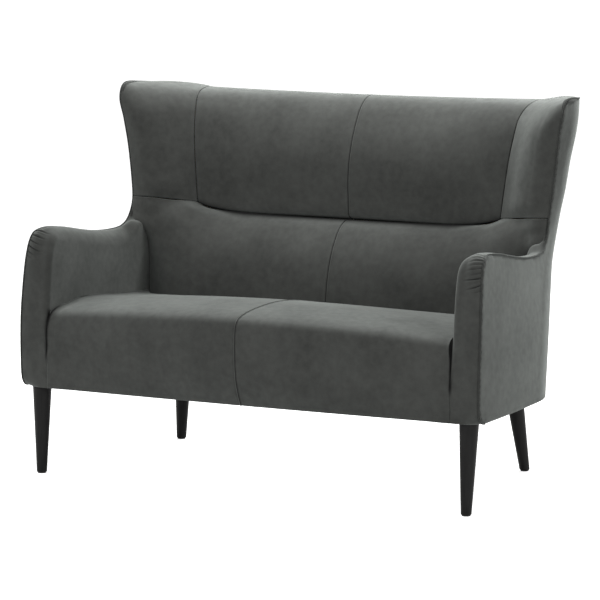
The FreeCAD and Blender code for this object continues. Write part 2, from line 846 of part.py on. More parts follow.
def corner_blocks():
    """Glued blocks in the four corners of the deck frame."""
    blocks = []
    for y, way in ((front_rail_back_y, 1.0), (rear_deck_y, -1.0)):
        corner = V(deck_rail_in_x, y, side_rail_top_z)
        wire = path(
            corner,
            (corner + V(-corner_block_side, 0, 0),),
            (corner + V(0, way * corner_block_side, 0),),
            (corner,),
        )
        blocks.append(Part.Face(wire).extrude(V(0, 0, deck_rail_high - web_thick)))
    return both(blocks)


def arm_side():
    """Plywood arm side with its window."""
    plate = side_prism(edge_foam + seat_gap, arm_ply_x, arm_ply_x + ply_thick)
    keep = box(arm_ply_x, arm_ply_x + ply_thick, frame_front_y, arm_side_rear_y,
               side_rail_top_z, arm_top)
    plate = plate.common(keep).common(room)
    y0 = frame_front_y + arm_side_border
    y1 = arm_side_rear_y - arm_side_border
    z0 = deck_z + edge_foam
    z1 = arm_top - arm_dip - edge_foam - arm_side_border
    window = box(arm_ply_x, arm_ply_x + ply_thick, y0, y1, z0, z1)
    corners = [e for e in window.Edges if e.BoundBox.XLength > ply_thick / 2.0]
    return plate.cut(window.makeFillet(arm_window_radius, corners))


def arm_post():
    x0 = arm_ply_x + ply_thick
    post = box(x0, x0 + rail_thick, frame_front_y, frame_front_y + arm_side_border,
               side_rail_top_z, arm_top - arm_corner_radius - rail_thick / 2.0)
    return post.common(side_prism(edge_foam + seat_gap, x0, x0 + rail_thick)).common(room)


def arm_top_rail():
    x0 = arm_ply_x + ply_thick
    top_z = arm_top - arm_dip - edge_foam - seat_gap
    beam = box(x0, x0 + rail_thick, frame_front_y + arm_side_border, arm_heel_y,
               top_z - rail_thick, top_z)
    return beam.common(room)


def centre_upright():
    """Middle upright, standing on the centre rail and under the top rail."""
    half = board_thick / 2.0
    plate = upright_plate(-half, half)
    below = box(-half, half, 0, shell_back_y, body_bottom, side_rail_top_z)
    above = box(-half, half, 0, shell_back_y, frame_head_z - top_rail_high, wing_top)
    for piece in (below, above, rear_rail(), back_mid_rail()):
        plate = plate.cut(piece)
    return plate


def back_rail(top_z, high):
    """Rail between the uprights, just behind their front edge at its top."""
    y0 = frame_line_y(top_z) + seat_gap
    return box(-upright_inner_x, upright_inner_x, y0, y0 + board_thick, top_z - high, top_z)


def back_mid_rail():
    return back_rail(frame_waist_z + board_thick, mid_rail_high)


def back_top_rail():
    return back_rail(frame_head_z, top_rail_high)


def wing_board():
    board = wing_board_form(0.0, False).common(room)
    ply = box(arm_ply_x, half_width, 0, shell_back_y, body_bottom, arm_top)
    return board.cut(ply.common(arm_side_zone()))


def arm_side_zone():
    """What the plywood arm side fills, for the pieces that butt against it."""
    return side_prism(edge_foam, arm_ply_x, half_width)


def seat_webbing_long():
    belts = []
    for i in range(web_count_long):
        x = (i - (web_count_long - 1) / 2.0) * web_pitch_long
        belts.append(box(x - web_wide / 2.0, x + web_wide / 2.0,
                         frame_front_y + web_end_in, frame_knee_y - web_end_in,
                         deck_z + seat_gap, deck_z + seat_gap + web_thick))
    return belts


def seat_webbing_cross():
    belts = []
    z0 = deck_z + 2.0 * seat_gap + web_thick
    middle_y = middle(front_rail_back_y, rear_deck_y)
    for i in range(web_count_cross):
        y = middle_y + (i - (web_count_cross - 1) / 2.0) * web_pitch_cross
        belts.append(box(-seat_half, seat_half, y - web_wide / 2.0, y + web_wide / 2.0,
                         z0, z0 + web_thick))
    return belts


def seat_cloth():
    z0 = support_z + seat_gap
    return box(-seat_half, seat_half, frame_front_y, frame_knee_y - support_gap, z0, z0 + cloth_thick)


def back_belt(z):
    """Belt across the fronts of the uprights, lying along their slope."""
    y = frame_line_y(z)
    rise = V(0, frame_line_y(z + web_wide / 2.0) - frame_line_y(z - web_wide / 2.0), web_wide)
    rise.normalize()
    ahead = V(0, -rise.z, rise.y)
    centre = V(-upright_outer_x, y, z) + ahead * seat_gap
    low = centre - rise * (web_wide / 2.0)
    high = centre + rise * (web_wide / 2.0)
    wire = path(low, (high,), (high + ahead * web_thick,), (low + ahead * web_thick,), (low,))
    return Part.Face(wire).extrude(V(2.0 * upright_outer_x, 0, 0))


def back_webbing():
    heights = [between(frame_knee_z, frame_waist_z, share) for share in back_web_low_share]
    heights += [between(frame_waist_z, frame_head_z, share) for share in back_web_high_share]
    return [back_belt(z) for z in heights]


def dust_cloth():
    """Cloth under the frame, cut round the leg plates."""
    z0 = rail_foot_z - seat_gap - dust_cloth_thick
    sheet = shell_block(dust_cloth_inset, room_height_share)
    sheet = sheet.common(box(-half_width, half_width, frame_front_y, shell_back_y,
                             z0, z0 + dust_cloth_thick))
    for plate in leg_plates():
        b = plate.BoundBox
        sheet = sheet.cut(box(b.XMin - seat_gap, b.XMax + seat_gap, b.YMin - seat_gap,
                              b.YMax + seat_gap, body_bottom, rail_foot_z))
    return sheet


def outer_wall():
    return outer_block(0.0).cut(shell_block(panel_thick, room_height_share))


def side_panel():
    prism = side_prism(0.0, rear_seam_x, half_width + overrun)
    return outer_wall().common(prism)


def back_panel_prism(raise_by):
    """Outline of the back panel from behind, its top edge lower in the middle."""
    top = back_panel_top + raise_by
    ear = top + back_panel_ear_rise
    y = rear_rail_y - overrun
    wire = path(
        V(-rear_seam_x, y, body_bottom),
        (V(-rear_seam_x, y, ear),),
        (V(0, y, top), V(rear_seam_x, y, ear)),
        (V(rear_seam_x, y, body_bottom),),
        (V(-rear_seam_x, y, body_bottom),),
    )
    return Part.Face(wire).extrude(V(0, shell_back_y + overrun - y, 0))


def back_panel():
    return outer_wall().common(back_panel_prism(0.0))


lower_form = lower_back_form()


def lower_zone(dx, dy, dz):
    """The lower back's space moved a little, to leave a gap to its neighbours."""
    zone = lower_form.copy()
    zone.translate(V(dx, dy, dz))
    return zone


def back_frame_zone():
    """Everything behind the belts on the fronts of the uprights."""
    top_z = frame_head_z
    reach = upright_outer_x + seat_gap
    wire = path(
        V(-reach, frame_knee_y - support_gap, body_bottom),
        (V(-reach, frame_knee_y - support_gap, frame_knee_z),),
        (V(-reach, frame_waist_y - support_gap, frame_waist_z),),
        (V(-reach, frame_line_y(top_z) - support_gap, top_z),),
        (V(-reach, shell_back_y, top_z),),
        (V(-reach, shell_back_y, body_bottom),),
        (V(-reach, frame_knee_y - support_gap, body_bottom),),
    )
    return Part.Face(wire).extrude(V(2.0 * reach, 0, 0))


def clear_of_frame(pad):
    """Pad less the space of the wing boards on both sides."""
    board_room = wing_board_form(seat_gap, True)
    return pad.cut(board_room).cut(mirrored(board_room))


def lower_back_pad():
    return clear_of_frame(lower_form.common(room))


def upper_back_pad():
    """Pad whose rear lip lies on the top edge of the back panel."""
    ring = shell_block(-overrun, room_height_share).cut(room)
    edge_x = rear_seam_x - seat_gap
    low_z = upper_back_foot_z - overrun
    high_z = wing_top + overrun
    beside = box(edge_x, half_width, 0, shell_back_y + overrun, low_z, high_z)
    pad = upper_back_form().cut(lower_zone(0, 0, seat_gap)).cut(lower_form)
    pad = clear_of_frame(pad.common(outer_block(0.0)).cut(ring.common(back_panel_prism(seat_gap))))
    return pad.cut(ring.common(beside)).cut(ring.common(mirrored(beside)))


def wing_pad():
    pad = wing_form().common(side_prism(0.0, 0.0, half_width + overrun)).common(room)
    pad = pad.cut(lower_zone(0, 0, seat_gap)).cut(lower_form).cut(back_frame_zone())
    return pad.cut(wing_board_form(seat_gap, True))


def arm_pad():
    wing_low_z = body_bottom + body_height * wing_height_share[0]
    keep = box(arm_inner_x, half_width, -arm_front_reach, arm_rear_y, body_bottom,
               wing_low_z - seat_gap)
    pad = arm_form().common(keep).common(room)
    pad = pad.cut(frame_zone())
    under = box(0, arm_ply_x, frame_front_y - seat_gap, shell_back_y, 0, deck_z + seat_gap)
    pad = pad.cut(under)
    return pad.cut(lower_zone(0, -seat_gap, 0))


def seat_pad():
    return seat_form().cut(lower_zone(0, -seat_gap, 0))


save("front_legs", group(both([leg(front_foot, front_leg_top)])))
save("rear_legs", group(both([leg(rear_foot, rear_leg_top)])))
save("leg_glides", group(both([glide(front_foot), glide(rear_foot)])))
save("leg_bolts", group(both([bolt(front_leg_top, front_axis, 0.0), bolt(rear_leg_top, rear_axis, 0.0)])))
save("leg_plates", group(leg_plates()))

save("front_rail", front_rail())
save("rear_rail", rear_rail())
save_pair("side_rail", side_rail())
save_pair("rear_leg_block", rear_leg_block())
save_pair("deck_rail", deck_rail())
save("rear_deck_rail", rear_deck_rail())
save("centre_rail", centre_rail())
save("corner_blocks", group(corner_blocks()))

save_pair("back_upright", upright_plate(upright_inner_x, upright_outer_x))
save("centre_upright", centre_upright())
save("back_mid_rail", back_mid_rail())
save("back_top_rail", back_top_rail())
save_pair("arm_side", arm_side())
save_pair("arm_post", arm_post())
save_pair("arm_top_rail", arm_top_rail())
save_pair("wing_board", wing_board())

save("seat_webbing_long", group(seat_webbing_long()))
save("seat_webbing_cross", group(seat_webbing_cross()))
save("seat_cloth", seat_cloth())
save("back_webbing", group(back_webbing()))
save("dust_cloth", dust_cloth())

save("seat_pad", seat_pad())
save("lower_back_pad", lower_back_pad())
save("upper_back_pad", upper_back_pad())
save_pair("arm_pad", arm_pad())
save_pair("wing_pad", wing_pad())
save_pair("side_panel", side_panel())
save("back_panel", back_panel())
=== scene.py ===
import json
import math

import bmesh
import bpy
import numpy as np
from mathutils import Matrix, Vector
from mathutils.geometry import delaunay_2d_cdt


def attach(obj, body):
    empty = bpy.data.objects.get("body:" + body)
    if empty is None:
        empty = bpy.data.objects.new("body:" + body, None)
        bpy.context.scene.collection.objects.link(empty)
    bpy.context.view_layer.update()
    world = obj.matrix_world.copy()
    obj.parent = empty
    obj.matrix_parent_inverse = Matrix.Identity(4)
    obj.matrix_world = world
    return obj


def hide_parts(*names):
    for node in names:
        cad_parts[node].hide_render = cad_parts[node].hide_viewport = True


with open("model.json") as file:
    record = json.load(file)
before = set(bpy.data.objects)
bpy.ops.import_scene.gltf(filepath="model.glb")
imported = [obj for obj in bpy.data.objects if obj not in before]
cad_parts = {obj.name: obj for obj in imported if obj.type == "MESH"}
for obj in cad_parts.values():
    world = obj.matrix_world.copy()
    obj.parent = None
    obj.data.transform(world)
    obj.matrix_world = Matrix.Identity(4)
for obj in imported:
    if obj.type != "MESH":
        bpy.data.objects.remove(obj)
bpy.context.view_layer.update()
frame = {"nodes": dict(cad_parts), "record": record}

# Two-seater sofa with wings, dressed in velvet.
# Lengths are millimetres unless another unit is named: X across, Y back from the line of the
# front feet, Z up. A mesh is moved to the frame's own origin and to metres when it is made.
MM_PER_METRE = 1000.0
FEET_LINE_Y = 362.64
BODY_FOOT, BODY_HIGH = 235.0, 772.0
HALF_WIDTH = 663.0
ARM_INNER_X = 583.0
REAR_SEAM_X = 470.0
PAD_FOOT_Z = 343.2
FRONT_TO_Y = 60
WELD_METRES = 0.00002
FAR = 1e9
SIDES = ((1, "right"), (-1, "left"))
# The back's face moves in depth with the fourth power of X over this half width
HOLLOW_HALF, HOLLOW_REACH, BACK_FOOT_Y = 613.0, 148.0, 457.0
# Sewn seams: how deep the cloth dives into them and how high it stands beside them
SEAT_SEAM, BACK_SEAM, WING_DIP, CREASE_DIP = (1.9, .35), (1.8, .3), (1.3, .05), (2.0, .4)
# Width and strength of the painted shade along a seam, darkening colour and sheen there
MIDDLE_SHADE, WING_SHADE, CREASE_SHADE, PIPING_SHADE = (1.25, .85), (1.6, .7), (1.4, .7), (1.6, .5)


# ---------------- curves and grids

def spline_weights(knots, at):
    """Matrix that turns values at the knots into a smooth curve's values at other places."""
    knots = np.asarray(knots, float)
    at = np.asarray(at, float)
    n = len(knots)
    h = np.diff(knots)
    left = np.eye(n)
    right = np.zeros((n, n))
    for i in range(1, n - 1):
        left[i, i - 1:i + 2] = h[i - 1], 2 * (h[i - 1] + h[i]), h[i]
        right[i, i - 1:i + 2] = 6 / h[i - 1], -6 / h[i - 1] - 6 / h[i], 6 / h[i]
    bend = np.linalg.solve(left, right)
    k = np.clip(np.searchsorted(knots, at, side="right") - 1, 0, n - 2)
    t = (at - knots[k]) / h[k]
    rows = np.arange(len(at))
    weights = np.zeros((len(at), n))
    weights[rows, k] += 1 - t
    weights[rows, k + 1] += t
    low = ((1 - t) ** 3 - (1 - t)) * h[k] ** 2 / 6
    high = (t ** 3 - t) * h[k] ** 2 / 6
    return weights + low[:, None] * bend[k] + high[:, None] * bend[k + 1]


def redrawn(net, knots, at):
    """Columns of a net drawn again as smooth curves, with rows at other places."""
    return np.einsum("ij,jkl->ikl", spline_weights(knots, at), net)


def chord(points):
    """Length run along a row of points, starting at 0."""
    points = np.asarray(points, float)
    steps = np.linalg.norm(np.diff(points, axis=0), axis=1)
    return np.concatenate([[0.0], np.cumsum(steps)])


def smooth_line(points, step):
    """Evenly spaced points on a smooth curve through the given ones."""
    points = np.asarray(points, float)
    knots = chord(points)
    fine = spline_weights(knots, np.linspace(0, knots[-1], 40 * len(points))) @ points
    run = chord(fine)
    count = max(2, int(round(run[-1] / step)) + 1)
    wanted = np.linspace(0, run[-1], count)
    return np.stack([np.interp(wanted, run, fine[:, i]) for i in range(fine.shape[1])], 1)


def ease(low, high, value):
    """0 below the low value, 1 above the high one and a smooth rise between."""
    t = np.clip((np.asarray(value, float) - low) / (high - low), 0, 1)
    return t * t * (3 - 2 * t)


def hill(offset, width):
    """1 at no offset, falling off smoothly on both sides."""
    return np.exp(-(offset / width) ** 2)


def normals(grid):
    """Unit normals of a grid of points, rows by columns."""
    across = np.gradient(grid, axis=1)
    along = np.gradient(grid, axis=0)
    n = np.cross(across, along)
    size = np.linalg.norm(n, axis=2, keepdims=True)
    return n / np.maximum(size, 1e-9)


def front_normals(grid, row, col):
    """Normals of a grid, turned so that the one at a given point looks to the front."""
    out = normals(grid)
    return -out if out[row, col, 1] > 0 else out


def from_edge(grid, side):
    """Length from one edge of a grid to each point, along its rows or columns."""
    axis = 1 if side in ("left", "right") else 0
    steps = np.linalg.norm(np.diff(grid, axis=axis), axis=2)
    zero = np.zeros_like(np.take(steps, [0], axis=axis))
    if side in ("left", "top"):
        return np.concatenate([zero, np.cumsum(steps, axis=axis)], axis=axis)
    back = np.flip(np.cumsum(np.flip(steps, axis), axis=axis), axis)
    return np.concatenate([back, zero], axis=axis)


def from_ends(grid):
    """Length to each point from the nearer one of a grid's left and right edges."""
    return np.minimum(from_edge(grid, "left"), from_edge(grid, "right"))


def seam_dip(away, tuck, ridge):
    """Height of the cloth beside a sewn seam: it dives into the seam past a fine ridge."""
    return ridge * hill(away - 4.2, 2.2) - tuck * hill(away, 1.5)


def painted_shade_near(away, width, strength):
    """Painted shade close to a line of sewing: how much the pile's colour and sheen are darkened
    there.
    """
    return strength * hill(away, width)


def spread(*stops):
    """Places along a run: (end, step) pairs, each stretch divided by its own step."""
    out = [np.array([stops[0]])]
    here = stops[0]
    for end, step in stops[1:]:
        count = max(1, int(round(abs(end - here) / step)))
        out.append(np.linspace(here, end, count + 1)[1:])
        here = end
    return np.concatenate(out)


def both_ways(half):
    """Places from the middle to one end, made into places from end to end."""
    return np.concatenate([-half[::-1], half[1:]])


def on_side(side, points):
    """Points of the right-hand side, mirrored in X where the left is wanted."""
    return np.asarray(points, float) * np.array([-1.0, 1.0, 1.0]) if side < 0 else points


# ---------------- meshes

def to_frame(points):
    points = np.asarray(points, float).reshape(-1, 3)
    return (points - np.array([0.0, FEET_LINE_Y, 0.0])) / MM_PER_METRE


def new_object(name, data):
    item = bpy.data.objects.new(name, data)
    bpy.context.scene.collection.objects.link(item)
    return item


def weld(mesh, facing=None, where=None):
    """Joins doubled points, turns the faces to one side and smooths the shading.

    Facing says where an open sheet's outside looks to, judged by the faces that pass a test of
    their middle where one is given."""
    work = bmesh.new()
    work.from_mesh(mesh)
    bmesh.ops.remove_doubles(work, verts=work.verts, dist=WELD_METRES)
    work.normal_update()
    if facing is None or where:
        bmesh.ops.recalc_face_normals(work, faces=work.faces)
    if facing is not None:
        total = Vector((0, 0, 0))
        for f in work.faces:
            if where is None or where(f.calc_center_median()):
                total += f.normal * f.calc_area()
        if total.dot(Vector(facing)) < 0:
            bmesh.ops.reverse_faces(work, faces=work.faces)
    work.to_mesh(mesh)
    work.free()
    mesh.shade_smooth()


def new_piece(name, points, faces, facing=None, where=None, painted_crevice_shade=None):
    """Welded mesh object, with the painted shade of seams and folds at each point, 0 to 1."""
    mesh = bpy.data.meshes.new(name)
    mesh.from_pydata([tuple(p) for p in to_frame(points)], [],
                     [tuple(int(i) for i in f) for f in faces])
    if painted_crevice_shade is not None:
        # painted shade of seams, folds and the crease, kept on the mesh to darken the velvet there
        layer = mesh.attributes.new("painted_crevice_shade", "FLOAT", "POINT")
        shade = np.clip(np.asarray(painted_crevice_shade, float).ravel(), 0, 1)
        layer.data.foreach_set("value", shade.tolist())
    piece = new_object(name, mesh)
    weld(mesh, facing, where)
    return piece


def grid_faces(rows, cols, wrap=False):
    faces = []
    for r in range(rows if wrap else rows - 1):
        a = r * cols
        b = ((r + 1) % rows) * cols
        faces += [(a + c, a + c + 1, b + c + 1, b + c) for c in range(cols - 1)]
    return faces


def thicken(piece, thick):
    wall = piece.modifiers.new("wadding", "SOLIDIFY")
    wall.thickness = thick / MM_PER_METRE
    wall.offset = -1.0
    wall.use_rim = True
    return piece


def sheet_piece(name, grid, facing, thick, painted_crevice_shade):
    """Open sheet of padding with its own thickness behind the face."""
    faces = grid_faces(*grid.shape[:2])
    return thicken(new_piece(name, grid.reshape(-1, 3), faces, facing, painted_crevice_shade=painted_crevice_shade), thick)


def inside(points, ring):
    """Which flat points lie inside a closed ring."""
    x, y = points[:, 0][:, None], points[:, 1][:, None]
    x0, y0 = ring[:, 0][None], ring[:, 1][None]
    x1, y1 = np.roll(ring[:, 0], -1)[None], np.roll(ring[:, 1], -1)[None]
    crosses = (y0 > y) != (y1 > y)
    rise = np.where(y1 == y0, 1e-9, y1 - y0)
    return (crosses & (x < (x1 - x0) * (y - y0) / rise + x0)).sum(1) % 2 == 1


def gap_to(points, others):
    """Length from each flat point to the nearest of some others."""
    gap = np.full(len(points), FAR)
    for p in others:
        gap = np.minimum(gap, np.hypot(points[:, 0] - p[0], points[:, 1] - p[1]))
    return gap


def flat_patch(ring, step):
    """Fills a flat ring of points with an even net of triangles."""
    ring = np.asarray(ring, float)
    low, high = ring.min(0), ring.max(0)
    net = []
    for i, y in enumerate(np.arange(low[1] + step / 2, high[1], step * 0.866)):
        x = np.arange(low[0] + step * (0.25 + 0.5 * (i % 2)), high[0], step)
        net.append(np.stack([x, np.full(len(x), y)], 1))
    net = np.concatenate(net)
    net = net[inside(net, ring)]
    net = net[gap_to(net, ring) > step * 0.62]
    points = [Vector(p) for p in np.concatenate([ring, net])]
    found = delaunay_2d_cdt(points, [], [list(range(len(ring)))], 1, 1e-6)
    return np.array([list(v) for v in found[0]]), found[2]


# ---------------- the body's outer shell

# Half width, half width of the front end and rear corner radius, as shares at places between
# the body's foot and its top
SHELL_AT = (0.0, 0.27, 0.43, 0.525, 0.59, 0.67, 0.79, 0.87, 0.955, 1.04)
SHELL_SIDE = (.998, .983, .961, .940, .944, .955, .976, .991, 1.002, 1.0)
SHELL_FRONT = (.993, .998, .995, .990, .860, .860, .820, .840, .930, .950)
SHELL_CORNER = (1.0, .97, .87, .673, .645, .627, .677, .687, .733, .750)
CORNER_RADIUS = 300.0
SIDE_BOW = 5.0
FRONT_END_Y = -106.0
REAR_FOOT_Y, REAR_LEAN = 650.0, 147.0


def back_y(z):
    return REAR_FOOT_Y + REAR_LEAN * (np.asarray(z, float) - BODY_FOOT) / BODY_HIGH


def eased(values, z):
    """The source's own easing between the rows of its tables, so that both shells agree."""
    at = (np.asarray(z, float) - BODY_FOOT) / BODY_HIGH
    places = np.array(SHELL_AT)
    values = np.array(values)
    rises = np.diff(values) / np.diff(places)
    slope = np.zeros(len(places))
    slope[0], slope[-1] = rises[0], rises[-1]
    for i in range(1, len(places) - 1):
        a, b = rises[i - 1], rises[i]
        slope[i] = 0.0 if a * b <= 0 else 2 * a * b / (a + b)
    k = np.clip(np.searchsorted(places, at, side="right") - 1, 0, len(places) - 2)
    span = places[k + 1] - places[k]
    t = (at - places[k]) / span
    bend = (slope[k] * (1 - t) - slope[k + 1] * t) * span
    mix = t * t * (3 - 2 * t)
    return values[k] + (values[k + 1] - values[k]) * mix + t * (1 - t) * bend


def shell_row(z):
    return (HALF_WIDTH * eased(SHELL_SIDE, z), HALF_WIDTH * eased(SHELL_FRONT, z),
            CORNER_RADIUS * eased(SHELL_CORNER, z))


def shell_point(run, z, inset=0.0):
    """Point of the right-hand shell. The run is Y up to the rear corner, then length round it."""
    run = np.asarray(run, float)
    side, front, radius = shell_row(z)
    centre_y = back_y(z) - radius
    angle = np.clip((run - centre_y) / radius, 0, None)
    share = np.clip((run - FRONT_END_Y) / (centre_y - FRONT_END_Y), 0, 1)
    bow = (SIDE_BOW * 4) * share * (1 - share)
    flat_x = front + (side - front) * share + bow - inset
    x = np.where(angle > 0, side - radius + (radius - inset) * np.cos(angle), flat_x)
    y = np.where(angle > 0, centre_y + (radius - inset) * np.sin(angle), run)
    return np.stack([x, y, np.asarray(z, float) + 0 * x], -1)


def run_of(y, z):
    """Run of a shell point known by its Y."""
    radius = shell_row(z)[2]
    centre_y = back_y(z) - radius
    over = np.clip((y - centre_y) / radius, 0, 1)
    return np.where(y > centre_y, centre_y + radius * np.arcsin(over), y)


def run_at_x(x, z):
    """Run of a shell point on the rear corner known by its X."""
    side, _, radius = shell_row(z)
    return back_y(z) - radius + radius * np.arccos(np.clip((x - side + radius) / radius, -1, 1))


# Side outline (Y, Z): up the arm's front, over its top, up the wing's front and along its top
OUTLINE = smooth_line([
    (10, 235), (-7, 238.5), (-19, 250), (-25, 270), (-26.6, 300), (-26.6, 345), (-23.7, 420),
    (-15.4, 500), (-5, 572), (1, 598), (11, 624), (29, 643), (53, 650.5), (84, 650.5),
    (131, 645.5), (190, 635), (253, 624), (310, 616), (366, 611.5), (410, 611), (440, 613),
    (460, 618), (475, 626), (487, 637), (497, 651), (504, 667), (509, 686), (512.5, 712),
    (515, 760), (515.4, 820), (512.4, 875), (507.5, 925), (506, 955), (509, 976), (518, 994),
    (533, 1004), (553, 1007), (600, 1004.6), (647, 1001), (700, 996), (745, 990), (772, 984),
    (790.5, 977.3)], 2.0)
LEN = chord(OUTLINE)


def outline_at(y=None, z=None, low=0, high=None):
    """Length along the outline where it comes nearest to a Y or Z between two lengths."""
    high = LEN[-1] if high is None else high
    pick = (LEN >= low) & (LEN <= high)
    values = OUTLINE[pick][:, 0] - y if y is not None else OUTLINE[pick][:, 1] - z
    return LEN[pick][np.argmin(np.abs(values))]


def outline_point(run):
    return np.stack([np.interp(run, LEN, OUTLINE[:, 0]), np.interp(run, LEN, OUTLINE[:, 1])], -1)


TIP_RUN = outline_at(y=553, low=1000)
WING_FOOT_RUN = outline_at(z=640, low=700, high=1000)
# The piped seam is the outline laid on the shell
PIPED_SEAM = shell_point(run_of(OUTLINE[:, 0], OUTLINE[:, 1]), OUTLINE[:, 1])
FINE_RUN = np.arange(0.0, LEN[-1], 0.25)
FINE_SEAM = np.stack([np.interp(FINE_RUN, LEN, PIPED_SEAM[:, i]) for i in range(3)], 1)


def slit_share(z):
    """How far the seat's front and the arm's stand apart at a height."""
    return ease(296, 330, z) * (1 - ease(436, 452, z))


# ---------------- seat

SEAT_HALF = 582.6
SEAT_TOP_Z, SEAT_SIDE_DROP = 479.0, 27.5
SEAT_FRONT_Y, SEAT_FRONT_BOW, SEAT_FRONT_HIGH = -66.0, 44.0, 244.0
FOOT_TUCK = 34.0
REAR_FALL, REAR_FALL_MIDDLE = 34.0, 18.0
RAIL_Y, RAIL_TOP_Z = -6.3, 290.0
# Rows of the front's roll: how far each lies behind the front's face and below the top
FRONT_ROLL = ((0.5, 57.0), (10.5, 25.5), (43.0, 11.0), (104.0, 3.5))


def lower_front(x):
    """Y of the lower back's face low down, where the seat meets it."""
    share = np.minimum(np.abs(x) / HOLLOW_HALF, 1.0)
    return BACK_FOOT_Y + HOLLOW_REACH * 0.30 * share ** 4 + 38.0 * hill(np.abs(x) - 600.0, 30.0)


def seat_rows(x):
    """Sewn outline of the seat at each X: from its foot up the front, over the roll and back."""
    share = np.abs(x) / ARM_INNER_X
    crown = 1 - share ** 2
    flat = share ** 2 - 0.10 * ease(0.86, 1.0, share)
    top = SEAT_TOP_Z - SEAT_SIDE_DROP * share ** 2
    front = SEAT_FRONT_Y + SEAT_FRONT_BOW * share ** 2
    low_front = SEAT_FRONT_Y + SEAT_FRONT_BOW * flat
    foot = low_front + FOOT_TUCK * crown
    fall = REAR_FALL + REAR_FALL_MIDDLE * crown
    rows = [(foot, BODY_FOOT),
            (foot + (low_front - foot) * 0.66 - 3.0 * crown, BODY_FOOT + SEAT_FRONT_HIGH * 0.25),
            (front + (low_front - front) * 0.5, BODY_FOOT + SEAT_FRONT_HIGH * 0.51)]
    rows += [(front + behind, top - below) for behind, below in FRONT_ROLL]
    rows += [(150.0, top), (250.0, top - fall * 0.13), (350.0, top - fall * 0.42),
             (lower_front(x) + 2.0, top - fall * 0.80)]
    return np.stack([np.stack([x, y + 0 * x, z + 0 * x], -1) for y, z in rows])


def make_seat():
    half = spread(0.0, (8.0, 1.0), (16.0, 2.0), (544.0, 8.0), (568.0, 4.0), (SEAT_HALF, 1.2))
    x = both_ways(half)
    net = seat_rows(x)
    knots = chord(net[:, len(x) // 2])
    top = redrawn(net, knots, spread(0.0, (knots[-1], 5.0)))
    out = -normals(top)
    y, z = top[..., 1], top[..., 2]
    away = np.abs(top[..., 0])
    to_arm = SEAT_HALF - away
    # the ends roll under beside the arms, but low down the cloth runs on into the arm
    end = np.clip((away - (SEAT_HALF - 22.0)) / 22.0, 0, 1)
    open_share = np.where(y < FRONT_TO_Y, ease(318, 440, z), 1.0)
    upright = 1.0 - ease(20, 70, y)
    draw = (7.0 + 3.0 * upright) * open_share * (1 - np.sqrt(1 - end ** 2 * 0.995))
    gather = hill(z - 322, 15) * hill(to_arm, 12) * (y < FRONT_TO_Y)
    lift = seam_dip(away, *SEAT_SEAM) - draw - 3.5 * gather
    lift += 0.3 * np.sin(y / 4.4 + z / 4.4) * hill(away - 5, 4)
    top = top + out * lift[..., None]
    # the upper front corner is rounded off beside the arm
    near_arm = np.clip((np.abs(top[..., 0]) - (SEAT_HALF - 50.0)) / 50.0, 0, 1) ** 1.5
    top[..., 0] -= (np.sign(top[..., 0]) * 9.0 * near_arm
                    * ease(385, 446, z) * (1 - ease(60, 190, y)))
    # painted shade: darker along the middle seam, where the seat meets the arm and in the slit
    # between them
    dark = painted_shade_near(away, *MIDDLE_SHADE) + painted_shade_near(to_arm, 2.0, 0.5) * (1 - upright)
    dark = dark + painted_shade_near(to_arm, 3.2, 1.0) * (slit_share(z) * upright)
    rear_y, rear_z = top[-1, :, 1], top[-1, :, 2]
    under = [(rear_y, rear_z - 12.0), (rear_y, 380.0), (rear_y, PAD_FOOT_Z), (250.0, PAD_FOOT_Z),
             (RAIL_Y, PAD_FOOT_Z), (RAIL_Y, RAIL_TOP_Z), (RAIL_Y, BODY_FOOT)]
    rest = np.stack([np.stack([x, 0 * x + a, 0 * x + b], -1) for a, b in under])
    grid = np.concatenate([top, rest])
    rows, cols = grid.shape[:2]
    faces = grid_faces(rows, cols, wrap=True)
    faces.append(tuple(r * cols for r in range(rows)))
    faces.append(tuple(r * cols + cols - 1 for r in range(rows)))
    dark = np.concatenate([dark, np.zeros(rest.shape[:2])])
    return new_piece("seat_cover", grid.reshape(-1, 3), faces, painted_crevice_shade=dark)


# ---------------- back and wings

# Back seam of the wing, from the crease up and over the ridge to the rear top seam (X, Y, Z)
WING_SEAM = [
    (456, 580, 676.4), (460, 582.5, 715), (464, 585, 752), (468, 588.5, 790), (473, 594, 835),
    (478, 602.5, 875), (482.5, 613.5, 912), (486, 627, 940), (490.5, 640, 956),
    (495, 655, 968.5), (499.5, 677, 978.5), (503, 704, 984), (504.5, 735, 986.5),
    (504, 763, 983.5), (500.5, 784.5, 978)]
# Lowest rows at that seam, where the lip over the crease has died away
LIP_SEAM = [(455.6, 583.5, 675.0), (455.8, 581.5, 675.7), (456, 580, 676.4),
            (456.6, 580.6, 681), (457.6, 581.2, 689), (458.8, 581.8, 700)]
# Middle of the upper back at the same steps (Y, Z), from inside the crease round its lip and up
LIP_MIDDLE = [(631, 646.5), (618.5, 651.5), (609.5, 655.2), (602.5, 661.5), (599, 671),
              (597.5, 686)]
BACK_MIDDLE = [
    (596.5, 704), (594.5, 738), (596, 776), (602.5, 815), (614, 850), (629, 884), (644.5, 911),
    (658.5, 932), (675, 951), (694.5, 966), (716, 975.5), (741, 980.3), (767, 976.5),
    (787.5, 960.5)]

# Lower edge of the wing cover: the crease seam as it runs out to the wing's front
CREASE_OUT = [(456, 580, 676.4), (504, 552.5, 683.5), (549, 525.5, 689.5), (567, 514, 692),
              (583, 505.5, 693.5), (600, 502.5, 694.3), (621.8, 509, 694.8)]

# Heights of the wing's rows over the crease, and the X of the corner that the nose rounds off
WING_RISE = (715, 752, 790, 835, 875, 912)
WING_CORNER_AT = (690, 729, 774, 813, 854, 893, 934)
WING_CORNER_X = (563, 563, 569, 574, 582, 591, 606)
